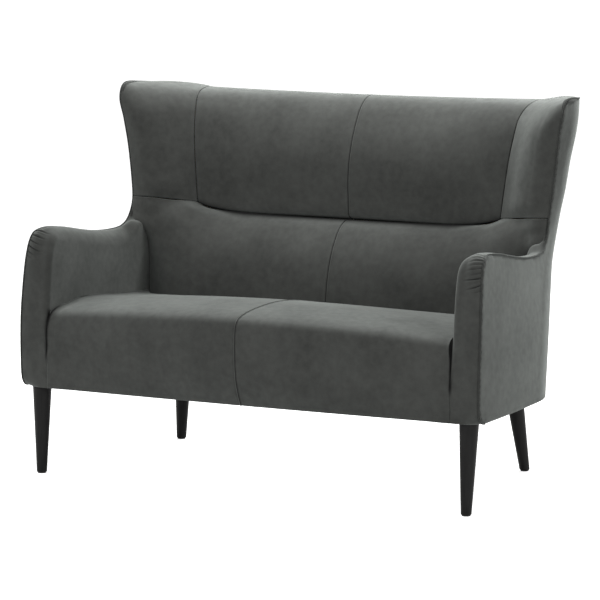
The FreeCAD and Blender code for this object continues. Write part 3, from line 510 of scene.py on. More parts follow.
# Rows that fan from the back seam round the wing's tip and along its top: their place on that
# seam, the corner that the nose rounds off, and the Y and Z of their place on the piped seam
WING_FAN = [
    [(485.7, 625.5, 938), (607, 507, 946), (506.5, 968)],
    [(489.8, 637.5, 953.5), (622, 518, 971), (519, 995)],
    [(494, 651.5, 966), (632, 541, 989), (551, 1007)],
    [(499, 674, 977.5), (634, 583, 1000), (600, 1004.6)],
    [(503, 704, 984), (624, 648, 1004), (650, 1001)],
    [(504.5, 735, 986.5), (600, 700, 1002), (700, 996)],
    [(504, 763, 983.5), (560, 748, 994), (745, 990)],
    [(502.5, 776, 980.5), (531, 769, 985.5), (771, 984.4)],
]
NOSE_IN, NOSE_OUT = 62.0, 34.0
UPPER_HALF = 470.0
COVER_THICK, LOWER_THICK, ARM_THICK, PANEL_THICK = 12.0, 11.0, 10.0, 8.0


def nose_row(seam, corner, edge):
    """Points from the back seam over the rounded nose to the front seam."""
    seam, corner, edge = (np.array(p, float) for p in (seam, corner, edge))
    inner = seam - corner
    outer = edge - corner
    start = corner + inner * min(0.72, NOSE_IN / np.linalg.norm(inner))
    end = corner + outer * min(0.80, NOSE_OUT / np.linalg.norm(outer))
    row = [seam, (seam + start) / 2 + np.array([0, 2.0, -0.5])]
    for t in (0, 0.25, 0.5, 0.75, 1.0):
        row.append(start * (1 - t) ** 2 + corner * 2 * t * (1 - t) + end * t ** 2)
    return row + [edge]


def wing_net():
    """Rows of the wing from the crease up, each from the back seam to the piped seam."""
    crease = np.array(CREASE_OUT, float)
    share = chord(crease) / chord(crease)[-1]
    rows = []
    for z, seam in zip(WING_RISE, WING_SEAM[1:]):
        run = outline_at(z=z, low=WING_FOOT_RUN, high=TIP_RUN)
        edge_y = float(outline_point(run)[0])
        corner = (float(np.interp(z, WING_CORNER_AT, WING_CORNER_X)), edge_y - 10.5, z)
        rows.append(nose_row((seam[0], seam[1], z), corner, shell_point(run_of(edge_y, z), z)))
    for seam, corner, (y, z) in WING_FAN:
        nearest = np.argmin(np.hypot(OUTLINE[:, 0] - y, OUTLINE[:, 1] - z))
        rows.append(nose_row(seam, corner, PIPED_SEAM[nearest]))
    first = chord(rows[0]) / chord(rows[0])[-1]
    rows.insert(0, spline_weights(share, first) @ crease)
    return np.array(rows)


def make_wing(side, word):
    net = wing_net()
    over = chord(net[4])[-1]
    at_over = spread(0.0, (9.0, 1.2), (over - 8.0, 4.0), (over, 1.2))
    # every row is drawn by its own length, so that short rows don't overshoot
    drawn = []
    for row in net:
        own = chord(row)
        drawn.append(spline_weights(own, at_over * own[-1] / over) @ row)
    # the rows end in a pole, 1 mm wide, at the rear top seam
    pole = np.tile(np.array(WING_SEAM[-1], float), (len(at_over), 1))
    pole[:, 0] += np.linspace(0, 1, len(at_over))
    drawn = np.array(drawn + [pole])
    up = np.mean([chord(drawn[:, k]) for k in range(0, len(at_over), 6)], axis=0)
    at_up = spread(0.0, (8.0, 1.2), (up[-1], 4.5))
    grid = redrawn(drawn, up, at_up)
    # the front edge is pulled onto the piped seam, except close to the pole
    edge = grid[:, -1].copy()
    gap = np.linalg.norm(edge[:, None, 1:] - FINE_SEAM[None, :, 1:], axis=2)
    on_seam = FINE_SEAM[np.argmin(gap, axis=1)]
    from_pole = ease(1.0, 24.0, at_up[-1] - at_up)
    pull = ease(over - 60.0, over, at_over)[None, :] * from_pole[:, None]
    grid = grid + (on_seam - edge)[:, None] * pull[..., None]
    out = front_normals(grid, 20, 20)
    away_seam = from_edge(grid, "left")
    away_crease = from_edge(grid, "top")
    away_front = from_edge(grid, "right")
    fade = ease(4, 34, from_edge(grid, "bottom"))
    narrow = ease(6, 40, away_seam + away_front)
    lift = (seam_dip(away_seam, *WING_DIP) * fade + seam_dip(away_crease, *CREASE_DIP)) * narrow
    # the nose is a little fuller than its frame, and dives into the piped seam
    lift += 1.6 * np.sin(np.pi * np.clip(away_front / 70.0, 0, 1)) * fade * narrow
    lift -= 2.6 * hill(away_front, 2.6) * narrow
    grid = on_side(side, grid + out * lift[..., None])
    # painted shade along the back seam, the crease and the piped seam
    dark = painted_shade_near(away_seam, *WING_SHADE) * fade + painted_shade_near(away_crease, *CREASE_SHADE)
    dark = dark + painted_shade_near(away_front, *PIPING_SHADE)
    return sheet_piece(word + "_wing_cover", grid, (-0.5 * side, -1, 0.2), COVER_THICK, dark)


def make_upper_back():
    seam = np.array(LIP_SEAM + WING_SEAM[1:], float)
    middle = np.array(LIP_MIDDLE + BACK_MIDDLE, float)
    knots = chord(middle)
    weights = spline_weights(knots, spread(0.0, (40.0, 2.0), (knots[-1], 4.5)))
    seam = weights @ seam
    middle = weights @ middle
    half = spread(0.0, (8.0 / UPPER_HALF, 1.0 / UPPER_HALF), (16.0 / UPPER_HALF, 2.0 / UPPER_HALF),
                  (0.975, 7.0 / UPPER_HALF), (1.0, 1.2 / UPPER_HALF))
    share = both_ways(half)
    x = seam[:, 0][:, None] * share[None]
    # the crease stays low across the middle and lifts only near the wings
    steep = 2.0 + 4.5 * hill(np.clip(middle[:, 1] - 653, 0, None), 55.0)
    late = np.abs(share[None]) ** steep[:, None]
    y = middle[:, 0][:, None] + (seam[:, 1] - middle[:, 0])[:, None] * share[None] ** 2
    z = middle[:, 1][:, None] + (seam[:, 2] - middle[:, 1])[:, None] * late
    grid = np.stack([x, y, z], -1)
    out = front_normals(grid, 40, len(share) // 2)
    ends = from_ends(grid)
    fade = ease(4, 34, from_edge(grid, "bottom"))
    start = ease(6, 34, from_edge(grid, "top"))
    lift = seam_dip(np.abs(x), *BACK_SEAM) + seam_dip(ends, *WING_DIP) * fade * start
    grid = grid + out * lift[..., None]
    # painted shade along the seams, and painted shadow on the lip's underside inside the crease
    dark = painted_shade_near(np.abs(x), *MIDDLE_SHADE) + painted_shade_near(ends, *WING_SHADE) * fade
    dark = dark + painted_shade_near(from_edge(grid, "top"), 13.0, 1.0)
    return sheet_piece("upper_back_cover", grid, (0, -1, 0.2), COVER_THICK, dark)


# Lower back: heights from its foot to the crease as shares, and columns out to the wings
LOWER_RISE = (0.0, 0.30, 0.56, 0.70, 0.785, 0.87, 0.93, 0.968, 0.988, 1.0)
LOWER_MIDDLE_Y = (457.0, 457.5, 471.5, 488.5, 503.5, 523.5, 543.0, 563.5, 585.0, 622.0)
LOWER_X = (0, 150, 300, 400, 432, 456)
LOWER_TOP_Z = (653.5, 654.0, 656.5, 661.3, 666.3, 675.8)
LOWER_SINK = (6.5, 6.5, 6.0, 3.5, 1.5, 0.0)
LOWER_CREASE_Y = (622.0, 619.0, 610.0, 597.0, 590.0, 582.0)
# How much of the hollow each height has
LOWER_TURN_AT = (0, .30, .56, .785, .93, 1.0)
LOWER_TURN = (.300, .310, .205, -.030, -.230, -.52)
# Columns over the arm: their X at the crease and low down, and their Y in each row below it
LOWER_OUT_X = (505, 550, 569, 583, 600, 621)
LOWER_OUT_LOW = (505, 545, 566, 583, 592, 600)
LOWER_OUT = (
    (480, 499, 512, 526, 534, 540),
    (481, 500, 514, 529, 538, 544),
    (489, 503, 514, 526, 533, 538),
    (495, 502, 506, 511, 514, 517),
    (502, 502, 499, 492, 488, 493),
    (512, 509, 503, 496, 494, 498),
    (526, 514, 504, 498.5, 497.5, 500.5),
    (539, 519, 508.5, 502, 500.5, 505),
    (546, 522.5, 511.5, 504, 501.8, 507),
)


def lower_net():
    """Rows of the lower back's right half, from its foot up to the crease."""
    rows = []
    for k, rise in enumerate(LOWER_RISE):
        turn = np.interp(rise, LOWER_TURN_AT, LOWER_TURN)
        row = []
        for i, (x, top) in enumerate(zip(LOWER_X, LOWER_TOP_Z)):
            z = PAD_FOOT_Z + (top - PAD_FOOT_Z) * rise
            y = LOWER_MIDDLE_Y[k] + HOLLOW_REACH * turn * (x / HOLLOW_HALF) ** 4
            if k > 6:
                y = min(y, LOWER_CREASE_Y[i] - (1.0 - rise) * 900.0)
            if rise == 1.0:
                y = LOWER_CREASE_Y[i]
                z -= LOWER_SINK[i]
            row.append((x, y, z))
        if rise == 1.0:
            row += CREASE_OUT[1:]
        else:
            low = 1.0 - ease(0.56, 0.87, rise)
            for x, x_low, y, (_, _, top) in zip(
                    LOWER_OUT_X, LOWER_OUT_LOW, LOWER_OUT[k], CREASE_OUT[1:]):
                row.append((x + (x_low - x) * low, y, PAD_FOOT_Z + (top - PAD_FOOT_Z) * rise))
        rows.append(row)
    return np.array(rows, float)


def make_lower_back():
    net = lower_net()
    full = np.concatenate([on_side(-1, net[:, :0:-1]), net], axis=1)
    up = chord(net[:, 0])
    over = chord(net[-1])
    half = spread(0.0, (8.0, 1.0), (16.0, 2.0), (440.0, 7.0), (over[-1] - 8.0, 4.0),
                  (over[-1], 1.3))
    at_over = both_ways(half)
    knots = np.concatenate([-over[:0:-1], over])
    grid = redrawn(full, up, spread(0.0, (up[-1] - 40.0, 5.0), (up[-1], 1.8)))
    grid = np.einsum("ij,kjl->kil", spline_weights(knots, at_over), grid)
    out = front_normals(grid, 30, grid.shape[1] // 2)
    from_middle = np.abs(grid[..., 0])
    away = from_edge(grid, "bottom")
    ends = from_ends(grid)
    edge = np.abs(at_over)[None]
    on_wing = ease(440, 470, edge)
    lift = seam_dip(from_middle, *BACK_SEAM) * ease(0, 8, away)
    lift += seam_dip(away, *CREASE_DIP) * on_wing
    lift -= 1.6 * hill(ends, 2.2)
    # painted shade along the middle seam, the crease seam on the wings and the ends
    dark = painted_shade_near(from_middle, *MIDDLE_SHADE) + painted_shade_near(away, *CREASE_SHADE) * on_wing
    # painted shadow inside the crease, reaching less deep towards the wings
    deep = 1.0 - 0.8 * ease(300, 450, edge)
    dark = dark + (1 - ease(30.0, 66.0, away / deep)) * (1 - on_wing)
    dark = dark + painted_shade_near(ends, *PIPING_SHADE)
    grid = grid + out * lift[..., None]
    return sheet_piece("lower_back_cover", grid, (0, -1, 0.1), LOWER_THICK, dark)


# ---------------- arms

ARM_END_RUN = WING_FOOT_RUN + 4.0
ARM_START_ROLL, ARM_FRONT_ROLL, ARM_TOP_ROLL, ARM_REAR_LESS = 1.5, 16.0, 40.0, 24.0
ARM_FRONT_Y = -25.5
# The cover's end under the wing's foot (Y, Z)
ARM_TAIL, TAIL_STEP = [(512, 656), (534, 668)], 4.0
ROLL_ANGLES = np.radians([0, 8, 17, 26, 36, 46, 56, 67, 78, 90])
# Lower edge of the arm's flat inner side (Y, Z), hidden by the seat and the back
INNER_FOOT = [(560, 600), (560, 500), (560, 345), (420, 345), (280, 345), (140, 345), (60, 320)]
# Gathers at the arm's front corner: (place on the outline from the corner, slant, length, depth)
GATHERS = {
    -1: [(56, .06, 36, 1.2), (43, .18, 54, 2.5), (28, .26, 52, 2.9), (13, .34, 46, 2.6),
         (-2, .38, 50, 2.9), (-16, .42, 34, 1.6), (-28, .36, 24, 0.9)],
    1: [(57, .05, 30, 0.7), (45, .12, 44, 0.9), (35, .16, 50, 1.0), (25, .20, 42, 0.9),
        (14, .20, 50, 1.1), (2, .22, 38, 1.0), (-12, .14, 54, 2.8), (-29, .32, 46, 2.5),
        (-42, .30, 26, 1.0)],
}


def gathers(side, place, away):
    """Height and painted shade of the small folds that run in from the piped seam."""
    lift = np.zeros(away.shape)
    dark = np.zeros(away.shape)
    for at, slant, length, depth in GATHERS[side]:
        bow = 1.8 * np.sin(away / length * np.pi)
        off = place[:, None] - at + slant * away + bow
        reach = ease(0.5, 4.0, away) * (1 - ease(0.35 * length, length, away))
        valley = hill(off, 1.8)
        lift += reach * depth * (0.45 * hill(np.abs(off) - 4.6, 2.6) - valley)
        # painted shade in each fold's valley
        dark += reach * valley * 0.3 * depth
    return lift, dark


def row_normals(line):
    """Unit normals of a line in the plane of Y and Z."""
    step = np.gradient(line, axis=0)
    step /= np.linalg.norm(step, axis=1, keepdims=True)
    return np.stack([step[:, 1], -step[:, 0]], 1)


def arm_net(corner):
    """Grid of the arm's cover, from the inner side over the roll to the piped seam.

    With it come each row's place on the outline, its Y and Z there and the X of its outer edge."""
    run = spread(0.0, (corner - 60.0, 3.5), (corner + 72.0, 1.1), (ARM_END_RUN, 3.5))
    line = outline_point(run)
    tail = smooth_line([line[-1]] + ARM_TAIL, TAIL_STEP)[1:]
    line = np.concatenate([line, tail])
    place = np.concatenate([run, run[-1] + TAIL_STEP * np.arange(1, len(tail) + 1)])
    y, z = line[:, 0], line[:, 1]
    # behind the dip the arm's top stays level on its inner side and turns up only at its outer edge
    turn = outline_at(y=425, low=corner + 200, high=ARM_END_RUN)
    past = np.clip(place - turn, 0, None)
    start_y, start_z = outline_point(np.array([turn]))[0]
    rise = start_z + 15.0 * ease(0, 50, past) + past * 0.02
    level = np.where(past[:, None] > 0, np.stack([start_y + past * 0.97, rise], 1), line)
    into, level_into = row_normals(line), row_normals(level)
    roll = ARM_START_ROLL + (ARM_FRONT_ROLL - ARM_START_ROLL) * ease(322, 450, z)
    roll = np.where((y < FRONT_TO_Y) & (z < 560), roll, ARM_FRONT_ROLL)
    roll = roll + (ARM_TOP_ROLL - ARM_FRONT_ROLL) * ease(corner - 20, corner + 110, place)
    roll = roll - ARM_REAR_LESS * ease(turn - 20.0, turn + 70.0, place)
    edge_x = shell_point(run_of(np.clip(y, -26, 515), z), z)[:, 0] - 1.5
    edge_x -= 7.0 * ease(run[-1] - 6.0, run[-1] + 14.0, place)
    start = ARM_INNER_X + roll
    columns = [(ARM_INNER_X + roll * (1 - np.cos(angle)), roll * (1 - np.sin(angle)))
               for angle in ROLL_ANGLES]
    columns += [(start + (edge_x - start) * share, 0 * roll)
                for share in spread(0.0, (0.9, 0.075), (1.0, 0.034))[1:]]
    grid = []
    for x, inset in columns:
        outer = ease(0.45, 1.0, (x - ARM_INNER_X) / (edge_x - ARM_INNER_X))[:, None]
        at = line + into * inset[:, None]
        at_level = level + level_into * inset[:, None]
        at = at * outer + at_level * (1 - outer)
        grid.append(np.stack([x, at[:, 0], at[:, 1]], 1))
    return np.stack(grid, 1), place, y, z, edge_x


def arm_inner_side(edge):
    """Points and triangles of the arm's flat inner side, below its upper edge (Y, Z)."""
    stops = [edge[-1]] + [np.array(p, float) for p in INNER_FOOT] + [edge[0]]
    path = [smooth_line(np.array([a, b]), 8.0)[1:] for a, b in zip(stops[:-1], stops[1:])]
    ring = np.concatenate([edge] + path)[:-1]
    flat, tris = flat_patch(ring, 9.0)
    points = np.stack([np.full(len(flat), ARM_INNER_X), flat[:, 0], flat[:, 1]], 1)
    swell = 3.0 * np.sin(np.clip((flat[:, 1] - 460) / 160, 0, 1) * np.pi)
    points[:, 0] -= swell * ease(0, 60, gap_to(flat, ring))
    return points, tris


def on_inner_side(middle):
    return abs(abs(middle.x) - ARM_INNER_X / MM_PER_METRE) < 0.002 and middle.z > 0.5


def make_arm(side, word):
    corner = outline_at(z=612, low=200, high=600)
    grid, place, y, z, edge_x = arm_net(corner)
    across = (grid[..., 0] - ARM_INNER_X) / (edge_x - ARM_INNER_X)[:, None]
    # low down the inner side of the arm's front runs straight down with the seat
    low = ease(0, 0.3, np.clip((272 - grid[..., 2]) / 37, 0, 1))
    straight = (ARM_FRONT_Y - grid[..., 1]) * (1 - ease(0.25, 1.0, across)) * low
    grid[..., 1] += np.where((y < FRONT_TO_Y)[:, None], straight, 0)
    out = front_normals(grid, int(np.argmin(np.abs(z - 400) + (y > FRONT_TO_Y) * 1000)), -4)
    # the cover stands a little proud of its frame, most of all at the front corner
    band = np.clip((across - 0.35) / 0.65, 0, 1)
    fuller = 2.2 + 4.6 * hill(place - corner - 22.0, 46.0)
    crown = fuller[:, None] * np.sin(np.pi * band) ** 1.2
    away = edge_x[:, None] - grid[..., 0]
    folds, dark = gathers(side, place - corner, away)
    lift = crown - 2.2 * hill(away, 2.0) + folds
    # painted shade along the piped seam and in the slit beside the seat
    dark = dark + painted_shade_near(away, *PIPING_SHADE)
    slit = (slit_share(z) * (y < 20))[:, None]
    dark = dark + painted_shade_near(grid[..., 0] - ARM_INNER_X, 4.0, 1.0) * slit
    grid = grid + out * lift[..., None]
    first = grid[:, 0]
    inner, tris = arm_inner_side(first[first[:, 2] > 292][:, 1:])
    cover = grid.reshape(-1, 3)
    points = on_side(side, np.concatenate([cover, inner]))
    faces = grid_faces(*grid.shape[:2]) + [tuple(len(cover) + i for i in t) for t in tris]
    dark = np.concatenate([dark.ravel(), np.zeros(len(inner))])
    name = word + "_arm_cover"
    return thicken(new_piece(name, points, faces, (-side, 0, 0), on_inner_side, dark), ARM_THICK)


# ---------------- outer panels

def make_side_panel(side, word):
    run = run_of(OUTLINE[:, 0], OUTLINE[:, 1])
    edge = np.stack([run, OUTLINE[:, 1]], 1)[::2]
    rear_z = spread(float(edge[-1, 1]), (BODY_FOOT, 6.0))[1:]
    rear = np.stack([run_at_x(REAR_SEAM_X, rear_z), rear_z], 1)
    foot_run = spread(float(rear[-1, 0]), (float(edge[0, 0]), 8.0))[1:-1]
    foot = np.stack([foot_run, np.full(len(foot_run), BODY_FOOT)], 1)
    flat, tris = flat_patch(np.concatenate([edge, rear, foot]), 9.0)
    away = gap_to(flat, np.concatenate([edge, rear]))
    points = shell_point(flat[:, 0], flat[:, 1], 0.3 + 1.4 * hill(away, 4.0))
    # painted shade along the piped seam and the rear seam
    piece = new_piece(word + "_side_cover", on_side(side, points), tris, (side, 0.4, 0),
                      painted_crevice_shade=painted_shade_near(away, 2.0, 0.4))
    return thicken(piece, PANEL_THICK)


def make_back_panel():
    x = spread(-REAR_SEAM_X, (-462.0, 1.3), (462.0, 10.0), (REAR_SEAM_X, 1.3))
    up = spread(0.0, (0.985, 0.0125), (1.0, 0.002))
    # the upper edge is a little higher at its ends
    top = 960.0 + 17.0 * (x / REAR_SEAM_X) ** 2
    z = BODY_FOOT + (top[None] - BODY_FOOT) * up[:, None]
    side, _, radius = shell_row(z)
    over = np.clip(np.abs(x)[None] - (side - radius), 0, None)
    y = back_y(z) - radius + np.sqrt(radius ** 2 - over ** 2)
    grid = np.stack([x[None] + 0 * z, y, z], -1)
    ends = from_ends(grid)
    grid[..., 1] -= 0.3 + 2.2 * hill(ends, 1.6) + 1.8 * hill(from_edge(grid, "bottom"), 2.5)
    # painted shade along both ends' seams
    return sheet_piece("back_panel_cover", grid, (0, 1, 0), PANEL_THICK, painted_shade_near(ends, 1.6, 0.6))


# ---------------- node trees

def feed(tree, node, inputs):
    """Gives a node's inputs their values. A node stands for its first output."""
    for name, value in inputs.items():
        if isinstance(value, bpy.types.Node):
            value = value.outputs[0]
        if isinstance(value, bpy.types.NodeSocket):
            tree.links.new(value, node.inputs[name])
        else:
            node.inputs[name].default_value = value


def add_node(tree, kind, inputs=None, **settings):
    node = tree.nodes.new(kind)
    for name, value in settings.items():
        setattr(node, name, value)
    feed(tree, node, inputs or {})
    return node


def calculate(tree, operation, a, b):
    return add_node(tree, "ShaderNodeMath", {0: a, 1: b}, operation=operation)


# ---------------- welts, by geometry nodes

WELT_RADIUS, WELT_SIDES, WELT_SUNK = 2.1, 10, 0.8
UNEVEN_METRES, UNEVEN_SCALE = 0.0006, 90.0
# The welt's rear end is tucked in between two lengths from the end, and stops some points short
WELT_TUCK, TUCK_FROM, TUCK_TO, WELT_SHORT = 2.0, 40.0, 8.0, 4


def welt_tree():
    """Turns a run of edges into a round cord of cloth with a slight unevenness."""
    tree = bpy.data.node_groups.new("welt", "GeometryNodeTree")
    keys = {}
    for name, kind in (("Geometry", "Geometry"), ("Cord radius", "Float"),
                       ("Unevenness", "Float"), ("Cloth", "Material")):
        socket = tree.interface.new_socket(name, in_out="INPUT", socket_type="NodeSocket" + kind)
        keys[name] = socket.identifier
    tree.interface.new_socket("Geometry", in_out="OUTPUT", socket_type="NodeSocketGeometry")
    given = add_node(tree, "NodeGroupInput").outputs
    curve = add_node(tree, "GeometryNodeMeshToCurve", {"Mesh": given["Geometry"]})
    circle = add_node(tree, "GeometryNodeCurvePrimitiveCircle",
                      {"Resolution": WELT_SIDES, "Radius": given["Cord radius"]})
    item = add_node(tree, "GeometryNodeCurveToMesh",
                    {"Curve": curve, "Profile Curve": circle, "Fill Caps": True})
    item = add_node(tree, "GeometryNodeSetShadeSmooth", {"Geometry": item})
    rough = add_node(tree, "ShaderNodeTexNoise", {"Scale": UNEVEN_SCALE})
    push = calculate(tree, "MULTIPLY", calculate(tree, "SUBTRACT", rough, 0.5), given["Unevenness"])
    normal = add_node(tree, "GeometryNodeInputNormal")
    offset = add_node(tree, "ShaderNodeVectorMath", {0: normal, "Scale": push}, operation="SCALE")
    item = add_node(tree, "GeometryNodeSetPosition", {"Geometry": item, "Offset": offset})
    item = add_node(tree, "GeometryNodeRealizeInstances", {"Geometry": item})
    item = add_node(tree, "GeometryNodeSetMaterial", {"Geometry": item, "Material": given["Cloth"]})
    add_node(tree, "NodeGroupOutput", {"Geometry": item})
    return tree, keys


def make_welt(name, points, cloth, tree, keys):
    """Cord of cloth along a run of points."""
    mesh = bpy.data.meshes.new(name + "_line")
    placed = to_frame(points)
    mesh.from_pydata([tuple(p) for p in placed], [(i, i + 1) for i in range(len(placed) - 1)], [])
    line = new_object(name + "_line", mesh)
    nodes = line.modifiers.new("welt", "NODES")
    nodes.node_group = tree
    nodes[keys["Cord radius"]] = WELT_RADIUS / MM_PER_METRE
    nodes[keys["Unevenness"]] = UNEVEN_METRES
    nodes[keys["Cloth"]] = cloth
    bpy.context.view_layer.update()
    drawn = line.evaluated_get(bpy.context.evaluated_depsgraph_get())
    made = bpy.data.meshes.new_from_object(drawn)
    bpy.data.objects.remove(line)
    piece = new_object(name, made)
    weld(made)
    return piece


# ---------------- legs

LEG_ROUND, LEG_HIGH = 56, 232.0
LEG_FOOT_Z, LEG_HEAD_Z = 3.0, 236.0
LEG_FOOT_RADIUS, LEG_HEAD_RADIUS = 13.7, 25.4
# Eased edge of the foot (height, radius), from the middle of its underside out and up
LEG_EASED = [(0.0, 0.0), (0.0, 11.0), (0.0, 12.3), (0.8, 13.2), (2.2, LEG_FOOT_RADIUS)]


def make_legs(name, foot, head):
    """Pair of turned legs: tapered, with an eased foot, leaning with the frame's own legs."""
    low = LEG_EASED[-1][0]
    wider = LEG_HEAD_RADIUS - LEG_FOOT_RADIUS
    taper = [(h, LEG_FOOT_RADIUS + wider * (h - low) / (LEG_HIGH - low))
             for h in (40, 80, 120, 160, 200, LEG_HIGH)]
    profile = LEG_EASED + taper + [(LEG_HIGH, 0.0)]
    points, faces = [], []
    for side, _ in SIDES:
        base = np.array([side * foot[0], foot[1], LEG_FOOT_Z])
        axis = np.array([side * head[0], head[1], LEG_HEAD_Z]) - base
        start = len(points)
        for h, r in profile:
            centre = base + axis * (h / LEG_HIGH)
            for k in range(LEG_ROUND):
                a = 2 * math.pi * k / LEG_ROUND
                points.append((centre[0] + r * math.cos(a), centre[1] + r * math.sin(a), centre[2]))
        for i in range(len(profile) - 1):
            for k in range(LEG_ROUND):
                a = start + i * LEG_ROUND + k
                b = start + i * LEG_ROUND + (k + 1) % LEG_ROUND
                faces.append((a, b, b + LEG_ROUND, a + LEG_ROUND))
    piece = new_piece(name, points, faces)
    piece.data.set_sharp_from_angle(angle=math.radians(40))
    return piece


# ---------------- finishes

def finish_base(name):
    material = bpy.data.materials.new(name)
    material.use_nodes = True
    tree = material.node_tree
    place = add_node(tree, "ShaderNodeTexCoord").outputs["Object"]
    return material, tree, tree.nodes["Principled BSDF"], place


def noise(tree, place, scale, detail, stretch=None):
    if stretch is not None:
        place = add_node(tree, "ShaderNodeMapping", {"Vector": place, "Scale": stretch})
    return add_node(tree, "ShaderNodeTexNoise", {"Vector": place, "Scale": scale, "Detail": detail})


def ramp(tree, source, low, dark, high, light):
    """Colour between a dark one at a low value and a light one at a high value."""
    node = add_node(tree, "ShaderNodeValToRGB", {"Fac": source})
    for element, value, colour in zip(node.color_ramp.elements, (low, high), (dark, light)):
        element.position = value
        element.color = (*colour, 1.0)
    return node


def bump(tree, source, strength, metres):
    return add_node(tree, "ShaderNodeBump",
                    {"Height": source, "Strength": strength, "Distance": metres})


def mixed(tree, a, b, factor):
    return add_node(tree, "ShaderNodeMix", {0: factor, 2: a, 3: b}, data_type="FLOAT")


def velvet_finish(name, dark, light, sheen):
    """Dark grey velvet: pile with a bright sheen where it is seen edge on, in soft patches.

    Seams and folds carry the painted crevice shade, which darkens the colour and the sheen there."""
    material, tree, shader, place = finish_base(name)
    patches = noise(tree, place, 7.0, 3.0)
    pile = noise(tree, place, 900.0, 2.0)
    brushed = noise(tree, place, 55.0, 5.0)
    streaks = noise(tree, place, 30.0, 3.0, (1.0, 1.0, 0.12))
    both = mixed(tree, mixed(tree, patches, streaks, 0.10), brushed, 0.45)
    colour = ramp(tree, mixed(tree, both, pile, 0.28), 0.36, dark, 0.64, light)
    painted_crevice_shade = add_node(tree, "ShaderNodeAttribute", attribute_name="painted_crevice_shade").outputs["Fac"]
    # painted shade: the colour goes to near black along seams, folds and the crease
    painted_shade_colour = add_node(tree, "ShaderNodeMix", {0: painted_crevice_shade, 6: colour,
                                                7: (0.0035, 0.0035, 0.0035, 1.0)}, data_type="RGBA")
    lie = add_node(tree, "ShaderNodeMapRange", {
        "Value": both, "From Min": 0.3, "From Max": 0.7, "To Min": sheen * 0.82,
        "To Max": sheen * 1.18})
    # painted shade also takes most of the sheen away there
    shade_takes_sheen = add_node(tree, "ShaderNodeMapRange",
                       {"Value": painted_crevice_shade, "To Min": 1.0, "To Max": 0.03})
    feed(tree, shader, {
        "Base Color": painted_shade_colour.outputs[2], "Roughness": 0.95, "Specular IOR Level": 0.12,
        "Sheen Weight": calculate(tree, "MULTIPLY", lie, shade_takes_sheen), "Sheen Roughness": 0.55,
        "Sheen Tint": (0.93, 1.0, 0.95, 1.0),
        "Normal": bump(tree, mixed(tree, brushed, pile, 0.6), 0.25, 0.0006)})
    return material


def wood_finish(name, dark, light, rough, coat, turn, gloss=0.5):
    """Wood with its grain drawn out along the axis that has the smallest turn."""
    material, tree, shader, place = finish_base(name)
    grain = noise(tree, place, 26.0, 6.0, turn)
    both = mixed(tree, grain, noise(tree, place, 160.0, 3.0, turn), 0.35)
    feed(tree, shader, {
        "Base Color": ramp(tree, both, 0.35, dark, 0.68, light), "Roughness": rough,
        "Specular IOR Level": gloss, "Coat Weight": coat, "Coat Roughness": 0.22,
        "Normal": bump(tree, both, 0.12, 0.0004)})
    return material


def woven_finish(name, dark, light, pitch_metres):
    """Plain weave."""
    material, tree, shader, place = finish_base(name)
    waves = [add_node(tree, "ShaderNodeTexWave", {
        "Vector": place, "Scale": 1.0 / pitch_metres, "Distortion": 0.6},
        bands_direction=direction).outputs["Fac"] for direction in ("X", "Y")]
    both = mixed(tree, mixed(tree, *waves, 0.5), noise(tree, place, 420.0, 3.0), 0.4)
    feed(tree, shader, {
        "Base Color": ramp(tree, both, 0.25, dark, 0.75, light), "Roughness": 0.9,
        "Normal": bump(tree, both, 0.4, 0.0005)})
    return material


def plain_finish(name, dark, light, rough, metal=0.0):
    """Metal or plastic with a little wear."""
    material, tree, shader, place = finish_base(name)
    wear = noise(tree, place, 70.0, 4.0)
    feed(tree, shader, {
        "Base Color": ramp(tree, wear, 0.3, dark, 0.7, light), "Roughness": rough,
        "Metallic": metal, "Normal": bump(tree, noise(tree, place, 500.0, 2.0), 0.08, 0.0003)})
    return material


FINISH_OF = {
    "velvet": velvet_finish(
        "velvet_dark_grey", (0.0188, 0.0191, 0.0179), (0.0342, 0.035, 0.0327), 0.27),
    "leg_wood": wood_finish("satin_black_wood", (0.004, 0.004, 0.004), (0.009, 0.0088, 0.0086),
                            0.42, 0.06, (6, 6, 0.7), 0.16),
    "frame_timber": wood_finish(
        "sawn_beech", (0.42, 0.27, 0.15), (0.60, 0.43, 0.27), 0.6, 0.0, (0.8, 8, 8)),
    "frame_ply": wood_finish(
        "birch_ply", (0.50, 0.36, 0.21), (0.66, 0.51, 0.34), 0.55, 0.0, (1, 1, 14)),
    "webbing": woven_finish(
        "elastic_webbing", (0.016, 0.016, 0.018), (0.07, 0.07, 0.075), 0.0032),
    "seat_cloth": woven_finish(
        "seat_deck_cloth", (0.20, 0.19, 0.17), (0.36, 0.34, 0.31), 0.0016),
    "dust_cloth": woven_finish(
        "black_under_cloth", (0.008, 0.008, 0.009), (0.03, 0.03, 0.032), 0.0018),
    "steel": plain_finish("zinc_plated_steel", (0.50, 0.50, 0.49), (0.66, 0.66, 0.64), 0.36, 1.0),
    "glide": plain_finish("black_nylon_glide", (0.012, 0.012, 0.012), (0.022, 0.022, 0.022), 0.55),
}
# Darker copy of the velvet with less sheen for the piping cord: painted shade along the welt
CORD_VELVET = velvet_finish("velvet_cord", (0.015, 0.0152, 0.0144), (0.022, 0.0225, 0.021), 0.18)
SLOT_OF = {part["node"]: part["material_slot"] for part in frame["record"]["subparts"]}


def paint(item, finish):
    item.data.materials.clear()
    item.data.materials.append(finish)


def dress(piece, slot, *nodes, fill=None, finish=None):
    """Gives a new piece its finish, its body and the nodes that it stands for."""
    paint(piece, finish or FINISH_OF[slot])
    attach(piece, "root")
    if nodes:
        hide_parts(*nodes)


# ---------------- assembly

